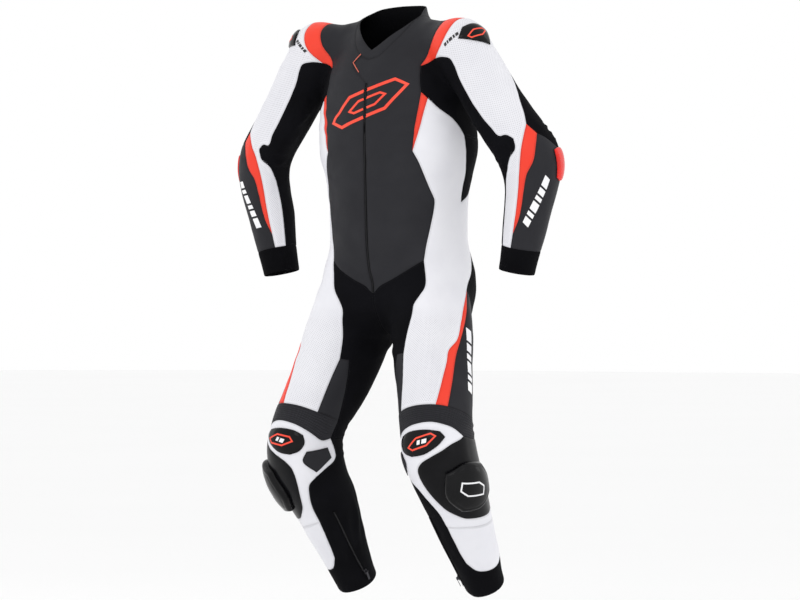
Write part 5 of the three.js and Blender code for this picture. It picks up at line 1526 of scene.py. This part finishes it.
def puck(facts):
    """A thick disc with a rolled rim, a groove inside it and a gently crowned face."""
    far = facts["far"]
    groove = np.exp(-((far - 11.5) / 1.1) ** 2)
    return LIFT + 3 + 10 * rounded(far, 8.0) + 5 * dome(facts) ** 2 - 1.1 * groove


def plate(lift, rim, height, groove_at):
    def rise(facts):
        far = facts["far"]
        groove = np.exp(-((far - groove_at) / 0.9) ** 2) if groove_at else 0
        return lift + rim * (0.35 + 0.65 * rounded(far, 2.6)) + height * dome(facts) - 0.5 * groove
    return rise


TOP_LOOKS = {
  "knee_insert": ["gloss", plate(LIFT, 1.8, 3, 3.5)],
  "knee_side_patch": ["leather", plate(1.2, 1.6, 1, 3.5)],
  "knee_slider": ["gloss", puck],
  "shoulder_insert": ["gloss", plate(LIFT, 2, 4, 3.5)],
  "elbow_armour": ["red_plate", plate(1.2, 3, 3.5, 4.0)],
}
TOP_PARTS = {}
for label in ("left", "right"):
    for name, (word, rise) in TOP_LOOKS.items():
        lift, spec = TOPS[name][1], TOPS[name][4]
        grid = fill(label, spec, TOP_STEP, "tops")
        full = name + "_" + label
        obj = cloth(full + "_part", [grid], rise, lift, [LOOKS[word], LOOKS[word]],
                    dip=False, kind="tops", wave=0.3, sharp=60)
        made(full, obj)
        TOP_PARTS[full] = obj
        if name == "knee_side_patch":
            CLOTH[full] = obj
        STITCH_JOBS.pop()


# Seam stitches, one long object for each colour of thread.
STITCH_PITCH = 3.6
STITCH_LENGTH = 2.5
STITCH_INSET = 2.6
THREADS = {"leather": "thread_dark", "stretch": "thread_dark", "mesh": "thread_dark", "rubber": "thread_dark",
           "white": "thread_white", "red": "thread_red", "zip": "thread_dark"}


def seam_stitches(grids, outer):
    """Start, end and outward direction of each stitch along the rim of a panel."""
    starts, ends, ups = [], [], []
    for g in grids:
        P = g["P"]
        sides = [(P[0], P[3]), (P[:, -1], P[:, -4]), (P[-1], P[-4]), (P[:, 0], P[:, 3])]
        for k, (edge, inner) in enumerate(sides):
            if not g["spans"][k]:
                continue
            total = g["spans"][k][-1][2]
            for seam, low, high, _ in g["spans"][k]:
                if (g["label"], seam) not in outer or high - low < 12:
                    continue
                if k > 1:
                    low, high = total - high, total - low
                at = np.arange(low + 4, high - 4 - STITCH_LENGTH, STITCH_PITCH)
                reach = lengths(edge)
                inward = unit(inner - edge)
                for where, store in ((at, starts), (at + STITCH_LENGTH, ends)):
                    p = spread(reach, edge, where)
                    v = spread(reach, inward, where)
                    along = unit(np.gradient(p, axis=0)) if len(p) > 1 else np.zeros_like(p)
                    v = unit(v - along * row_dot(v, along)[:, None])
                    store.append(flipped(settle(p + v * STITCH_INSET, 3), g["label"]))
                ups.append(flipped(outward(flipped(starts[-1], g["label"])), g["label"]))
    return starts, ends, ups


def thread_object(name, starts, ends, ups, look, thick=0.34):
    """All stitches of one colour, each a low pyramid."""
    a, b, n = np.vstack(starts), np.vstack(ends), np.vstack(ups)
    middle = (a + b) / 2
    height = wrinkle(middle) + edge_dip(np.full(len(a), STITCH_INSET))
    rise = n * (height - 0.05)[:, None]
    side = np.cross(n, unit(b - a)) * thick
    points = np.stack([a + rise, middle + rise + side, b + rise, middle + rise - side,
                       middle + rise + n * thick], 1).reshape(-1, 3)
    base = np.arange(len(a)) * 5
    faces = np.concatenate([np.stack([base + i, base + j, base + 4], 1)
                            for i, j in ((0, 3), (3, 2), (2, 1), (1, 0))])
    obj = mesh_object(name, points, faces.tolist(), [LOOKS[look]])
    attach(obj, "root")
    return obj


jobs = {}
for name, grids, outer in STITCH_JOBS:
    node = name[:-len("_cloth")]
    if node.startswith(("front_zip", "cuff")):
        continue
    jobs.setdefault(THREADS[WORDS[node]], []).append(seam_stitches(grids, outer))
for look, found in jobs.items():
    thread_object("stitches_" + look, [v for f in found for v in f[0]], [v for f in found for v in f[1]],
                  [v for f in found for v in f[2]], look)


# Flat shapes on the surface, drawn in mm around a place: x to the suit's left or round the limb, y up.
def local_frame(way, a, b, label, tilt=0.0):
    """A place in the suit's frame with its across, up and outward directions."""
    side = 1 if label == "left" else -1
    spot = place_all([[way, a, b]], side)
    n = outward(spot)[0]
    spot = flipped(spot[0], label)
    n = flipped(n, label)
    up = np.array([0, 0, 1.0])
    up = unit(up - n * (up @ n))
    across = np.cross(up, n)
    turn = math.radians(tilt)
    c, s = math.cos(turn), math.sin(turn)
    return spot, across * c + up * s, up * c - across * s, n


def on_form(points):
    """Places on the form under points in the suit's frame, and the outward directions there."""
    p = points.copy()
    sign = np.where(p[:, 0] < 0, -1.0, 1.0)
    p[:, 0] *= sign
    p = settle(p, 8)
    n = outward(p)
    p[:, 0] *= sign
    n[:, 0] *= sign
    return p, n


def height_on(obj, points, normals):
    """How far the outside of a piece stands off the form at each of the points."""
    mesh = obj.data
    tree = BVHTree.FromPolygons([v.co for v in mesh.vertices], [f.vertices for f in mesh.polygons])
    found = []
    for p, n in zip(points, normals):
        hit = tree.ray_cast(Vector((p + n * 40) * MM), Vector(-n))
        found.append(40 - hit[3] / MM if hit[0] is not None else LIFT)
    return np.array(found)


def decal(name, quads, place, look, lift, thick=0.35, cell=2.5, skip=None, base=None):
    """Thin shapes cut from quads given in a place's frame, laid on the cloth."""
    spot, across, up, _ = place
    points, faces = [], []
    for quad in quads:
        q = np.array(quad, float)
        wide = max(np.linalg.norm(q[1] - q[0]), np.linalg.norm(q[2] - q[3]))
        tall = max(np.linalg.norm(q[3] - q[0]), np.linalg.norm(q[2] - q[1]))
        m, k = max(1, round(wide / cell)), max(1, round(tall / cell))
        s, t = np.meshgrid(np.linspace(0, 1, m + 1), np.linspace(0, 1, k + 1))
        s, t = s.reshape(-1, 1), t.reshape(-1, 1)
        flat = (1 - s) * (1 - t) * q[0] + s * (1 - t) * q[1] + s * t * q[2] + (1 - s) * t * q[3]
        p, n = on_form(spot + flat[:, :1] * across + flat[:, 1:] * up)
        ground = wrinkle(p) if base is None else height_on(base, p, n)
        top = p + n * (ground + lift + thick)[:, None]
        low = p + n * (ground + lift - 0.4)[:, None]
        ids = np.arange((m + 1) * (k + 1)).reshape(k + 1, m + 1)
        count = len(p)
        first = len(points)
        points.extend(top)
        points.extend(low)
        cells = [(i, j) for j in range(k) for i in range(m)]
        if skip is not None:
            cells = [(i, j) for i, j in cells if not skip((p[ids[j, i]] + p[ids[j + 1, i + 1]]) / 2)]
        own = []
        for i, j in cells:
            own.append([ids[j, i], ids[j, i + 1], ids[j + 1, i + 1], ids[j + 1, i]])
        turn = sum(np.cross(top[f[2]] - top[f[0]], top[f[3]] - top[f[1]]) @ n[f[0]] for f in own)
        if turn < 0:
            own = [f[::-1] for f in own]
        edges = {}
        for f in own:
            for x, y in zip(f, f[1:] + f[:1]):
                edges[(x, y)] = True
        for f in own:
            faces.append([first + int(v) for v in f])
        for x, y in edges:
            if (y, x) not in edges:
                faces.append([first + int(v) for v in (y, x, count + x, count + y)])
    obj = mesh_object(name, points, faces, [LOOKS[look]], sharp=40)
    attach(obj, "root")
    return obj


def outline_quads(corners, stroke):
    """A closed outline as quads with mitred corners, given the outer corners in order."""
    c = np.array(corners, float)
    count = len(c)
    area = sum(c[i - 1][0] * c[i][1] - c[i][0] * c[i - 1][1] for i in range(count))
    inner = []
    for i in range(count):
        before = unit(c[i] - c[i - 1])
        after = unit(c[(i + 1) % count] - c[i])
        n1 = np.array([-before[1], before[0]])
        n2 = np.array([-after[1], after[0]])
        if area < 0:
            n1, n2 = -n1, -n2
        inner.append(c[i] + (n1 + n2) * stroke / max(1 + n1 @ n2, 0.35))
    return [[c[i - 1], c[i], inner[i], inner[i - 1]] for i in range(count)]


def hexagon(long, wide, lean):
    """A long hexagon with slanted ends."""
    return [(-long, -wide * 0.35), (-long + lean, -wide), (long - lean * 2.2, -wide * 0.8),
            (long, wide * 0.35), (long - lean, wide), (-long + lean * 2.2, wide * 0.8)]


def dashes(widths, height, gap, slant):
    """A row of slanted blocks."""
    quads = []
    x = -sum(widths) / 2 - gap * (len(widths) - 1) / 2
    for w in widths:
        low, high = -height / 2, height / 2
        quads.append([(x, low), (x + w, low), (x + w + slant, high), (x + slant, high)])
        x += w + gap
    return quads


# The mark on the chest, cut by the zip.
chest = local_frame("front", 4, -190, "left", 16)
decal("chest_mark", outline_quads(hexagon(118, 36, 34), 7), chest, "print_red", 0.05,
      skip=lambda p: abs(p[0]) < 4.5)
decal("chest_mark_core", outline_quads(hexagon(56, 15, 16), 5), chest, "print_red", 0.05,
      skip=lambda p: abs(p[0]) < 4.5)
# Plain marks on the limbs, inserts and sliders.
for label in ("left", "right"):
    arm = local_frame("sleeve", 38, 402, label, 66 if label == "left" else -66)
    decal("forearm_dashes_" + label, dashes([16, 9, 20, 9, 14, 24], 17, 5, 5), arm, "print_white", 0.05)
    thigh = local_frame("leg", 73, 236, label, 76 if label == "left" else -76)
    decal("thigh_dashes_" + label, dashes([20, 10, 26, 12, 18, 30], 17, 6, 6), thigh, "print_white", 0.05)
    cap = local_frame("sleeve", 12, -6, label, 42 if label == "left" else -42)
    decal("shoulder_dashes_" + label, dashes([7, 4, 9, 5, 8], 7, 2.5, 2), cap, "print_dark", 0.05)
    turn = 1 if label == "left" else -1
    knee = local_frame("leg", -10, 407, label, 14 * turn)
    insert = TOP_PARTS["knee_insert_" + label]
    decal("knee_mark_" + label, outline_quads(hexagon(37, 15, 12), 3.6), knee, "print_red", 0.05, base=insert)
    decal("knee_dashes_" + label, dashes([7, 11], 9, 4, 3), knee, "print_white", 0.05, base=insert)
    knee_side = local_frame("leg", 41, 508, label, -38 * turn)
    puck_part = TOP_PARTS["knee_slider_" + label]
    decal("slider_mark_" + label, outline_quads(hexagon(35, 22, 15), 3.2), knee_side, "print_white", 0.05,
          base=puck_part)
    cap_top = local_frame("sleeve", 68, 10, label, 8 * turn)
    insert = TOP_PARTS["shoulder_insert_" + label]
    ring = outline_quads(hexagon(29, 11, 9), 3)
    decal("shoulder_mark_" + label, ring, cap_top, "print_red", 0.05, base=insert)


# Zips: a tape with two rows of small teeth that meet in the middle.
def box_points(centre, x, y, z, sx, sy, sz):
    signs = [(a, b, c) for a in (-1, 1) for b in (-1, 1) for c in (-1, 1)]
    return [centre + x * a * sx + y * b * sy + z * c * sz for a, b, c in signs]


BOX_FACES = [(0, 1, 3, 2), (4, 6, 7, 5), (0, 4, 5, 1), (2, 3, 7, 6), (0, 2, 6, 4), (1, 5, 7, 3)]


def teeth(name, line, normals, height, pitch=2.0, reach=1.7):
    """Teeth along a line, from one side and the other in turn."""
    along = lengths(line)
    at = np.arange(2, along[-1] - 2, pitch)
    p = spread(along, line, at)
    n = unit(spread(along, normals, at))
    t = unit(np.gradient(p, axis=0))
    side = np.cross(n, t)
    points, faces = [], []
    for i in range(len(p)):
        hand = 1 if i % 2 else -1
        centre = p[i] + n[i] * height + side[i] * hand * reach * 0.35
        start = len(points)
        points += box_points(centre, side[i], t[i], n[i], reach * 0.8, pitch * 0.3, 0.55)
        faces += [[start + v for v in f] for f in BOX_FACES]
    obj = mesh_object(name, points, faces, [LOOKS["teeth"]], sharp=30)
    bevel = obj.modifiers.new("soft edge", "BEVEL")
    bevel.width = 0.15 * MM
    bevel.segments = 1
    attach(obj, "root")
    return obj


middle = NETS["left"]["panels"]["zipLine"][2]
row, up = on_form(resampled(middle, 4.0))
teeth("front_zip_teeth", row, up, wrinkle(row).mean() - 1.1)

SLIDER = {"angle": -83.5, "down": 768, "width": 8, "length": 12}
PIN = {"radius": 0.8, "height": 7.0, "half": 3.9}
PIN_SIDES = 16
ZIP_STRIP = 1.4
for label, side in (("left", 1), ("right", -1)):
    full = "calf_zip_" + label
    strip = fill(label, ["leg", -69, ["calfTop"], ["calfFront"], ["calfLow"], ["calfRear"]], TOP_STEP, "tops")
    tape = cloth(full + "_tape", [strip], LIFT + ZIP_STRIP - 0.7, LIFT - 0.3, [LOOKS["zip"], LOOKS["zip"]],
                 dip=False, kind="tops", wave=0.0)
    STITCH_JOBS.pop()
    made(full, tape)
    CLOTH[full] = tape
    line = flipped((strip["P"][:, strip["P"].shape[1] // 2]), label)
    rows, ups = on_form(line)
    keep = lengths(rows) < lengths(rows)[-1] - 27
    teeth(full + "_teeth", rows[keep], ups[keep], LIFT + ZIP_STRIP - 0.2)
    spots = place_all([["leg", SLIDER["angle"], SLIDER["down"] + further] for further in (0, 15)], side)
    away = outward(spots[:1])[0]
    down = spots[1] - spots[0]
    down = unit(down - away * (down @ away))
    across = np.cross(down, away)
    spot, across, down, away = [flipped(v, label) for v in (spots[0], across, down, away)]
    points, faces = [], []
    floor = LIFT + ZIP_STRIP - 0.6
    shapes = [
        (0, 0, floor + 0.8, SLIDER["width"] / 2, SLIDER["length"] / 2, 0.75),
        (0, -1.2, floor + 2.2, 3.5, 4.4, 0.75),
        (3.4, 0, 5.2, 0.5, 2.0, 3.0), (-3.4, 0, 5.2, 0.5, 2.0, 3.0),
    ]
    for x, y, z, sx, sy, sz in shapes:
        start = len(points)
        points += box_points(spot + across * x + down * y + away * z, across, down, away, sx, sy, sz)
        faces += [[start + v for v in f] for f in BOX_FACES]
    start = len(points)
    for end in (-PIN["half"], PIN["half"]):
        for k in range(PIN_SIDES):
            a = 2 * math.pi * k / PIN_SIDES
            points.append(spot + across * end + down * PIN["radius"] * math.cos(a)
                          + away * (PIN["height"] + PIN["radius"] * math.sin(a)))
    near = [start + k for k in range(PIN_SIDES)]
    far = [start + PIN_SIDES + k for k in range(PIN_SIDES)]
    faces += [[near[k - 1], near[k], far[k], far[k - 1]] for k in range(PIN_SIDES)]
    faces += [near[::-1], far]
    slider = mesh_object(full + "_slider", points, faces, [LOOKS["metal"]], sharp=30)
    bevel = slider.modifiers.new("soft edge", "BEVEL")
    bevel.width = 0.4 * MM
    bevel.segments = 3
    bevel.limit_method = "ANGLE"
    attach(slider, "root")
    pull = bpy.data.objects["calf_zip_pull_" + label]
    for slot in pull.material_slots:
        slot.material = LOOKS["metal"]
    if not pull.material_slots:
        pull.data.materials.append(LOOKS["metal"])


# Piping along the point of the tab, and a hanger loop inside the back of the neck.
def tube(name, points, radius, look):
    """A round cord of fixed shape along points."""
    spline = bpy.data.curves.new(name, "CURVE")
    spline.dimensions = "3D"
    spline.bevel_depth = radius * MM
    spline.bevel_resolution = 3
    spline.use_fill_caps = True
    poly = spline.splines.new("POLY")
    poly.points.add(len(points) - 1)
    for item, p in zip(poly.points, points):
        item.co = (*(np.array(p) * MM), 1)
    spline.materials.append(LOOKS[look])
    obj = bpy.data.objects.new(name, spline)
    collection.objects.link(obj)
    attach(obj, "root")
    return obj


corner = place_all([["front", 26, -80], ["front", 44, -99], ["front", 23, -121]], -1)
line = np.vstack([resampled(corner[:2], 3.0), resampled(corner[1:], 3.0)[1:]])
line, up = on_form(flipped(line, "right"))
tube("tab_piping", line + up * (wrinkle(line) + 0.4)[:, None], 1.0, "piping")

loop = [[-22, 66, -8], [-20, 63, -13], [-10, 61, -17], [0, 60, -18],
        [10, 61, -17], [20, 63, -13], [22, 66, -8]]
tube("hanger_loop", through(np.array(loop, float), 3.0), 1.6, "stretch")

# The flat size and area of each cloth piece, worked out here but not kept.
for name, obj in CLOTH.items():
    width, long = SIZES[obj.name]
    if width < 0.01:
        continue
    area = obj["form_area"] * 1e-6
    kind = name.rsplit("_", 1)[0] if name.endswith(("_left", "_right")) else name
    extra = 1.3 if kind == "knee_rib" else 1.0
    long *= extra
    area *= extra

# The camera's heading, as its forward and right directions on the floor.
HEADING = 34
heading = math.radians(HEADING)
forward = np.array([-math.sin(heading), math.cos(heading)])
sideways = np.array([math.cos(heading), math.sin(heading)])

# A plain pale floor under a white sky.
FLOOR = -1.42
FLOOR_REACH = 40
mesh = bpy.data.meshes.new("studio_floor")
rim = [(x * FLOOR_REACH, y * FLOOR_REACH, FLOOR) for x, y in ((-1, -1), (1, -1), (1, 1), (-1, 1))]
mesh.from_pydata(rim, [], [(0, 1, 2, 3)])
paper = Nodes("studio_paper")
tone = paper.mix(paper.noise(0.7, 2), (0.94, 0.94, 0.94, 1), (0.96, 0.96, 0.96, 1))
paper.set(Base_Color=tone, Roughness=0.9)
mesh.materials.append(paper.material)
ground = bpy.data.objects.new("studio_floor", mesh)
collection.objects.link(ground)


def lamp(name, place, aim, size, power):
    """A soft lamp that looks from its place to its aim."""
    data = bpy.data.lights.new(name, "AREA")
    data.shape = "RECTANGLE"
    data.size, data.size_y = size
    data.energy = power
    obj = bpy.data.objects.new(name, data)
    obj.location = place
    obj.rotation_euler = (Vector(aim) - Vector(place)).to_track_quat("-Z", "Y").to_euler()
    collection.objects.link(obj)


def seen(across, ahead, z):
    """A place by the camera's right and forward directions, in metres."""
    return (*(sideways * across + forward * ahead), z)


lamp("key", seen(-1.6, -4.6, 1.9), (0, 0, -0.6), (2.2, 2.2), 20)
lamp("fill", seen(3.0, -4.0, 0.2), (0, 0, -0.7), (2.0, 2.6), 5)
lamp("rim_left", seen(-2.6, 1.2, 0.6), (0, 0, -0.5), (0.8, 2.6), 4)
lamp("rim_right", seen(2.8, 0.9, 0.4), (0, 0, -0.5), (0.8, 2.6), 4)

world = bpy.data.worlds.new("studio")
world.use_nodes = True
world.node_tree.nodes["Background"].inputs["Color"].default_value = (1, 1, 1, 1)
world.node_tree.nodes["Background"].inputs["Strength"].default_value = 1.0
bpy.context.scene.world = world
bpy.context.scene.view_settings.view_transform = "Standard"

# The camera looks level at the middle of the suit.
LENS = 240
CAMERA_FAR = 12.0
AIM = (0.009, 0, -0.63)
lens = bpy.data.cameras.new("camera")
lens.lens = LENS
lens.sensor_width = 36
lens.clip_end = 60
camera = bpy.data.objects.new("camera", lens)
target = Vector(seen(*AIM))
camera.location = target - Vector((*forward, 0)) * CAMERA_FAR
camera.rotation_euler = (target - camera.location).to_track_quat("-Z", "Y").to_euler()
collection.objects.link(camera)
bpy.context.scene.camera = camera
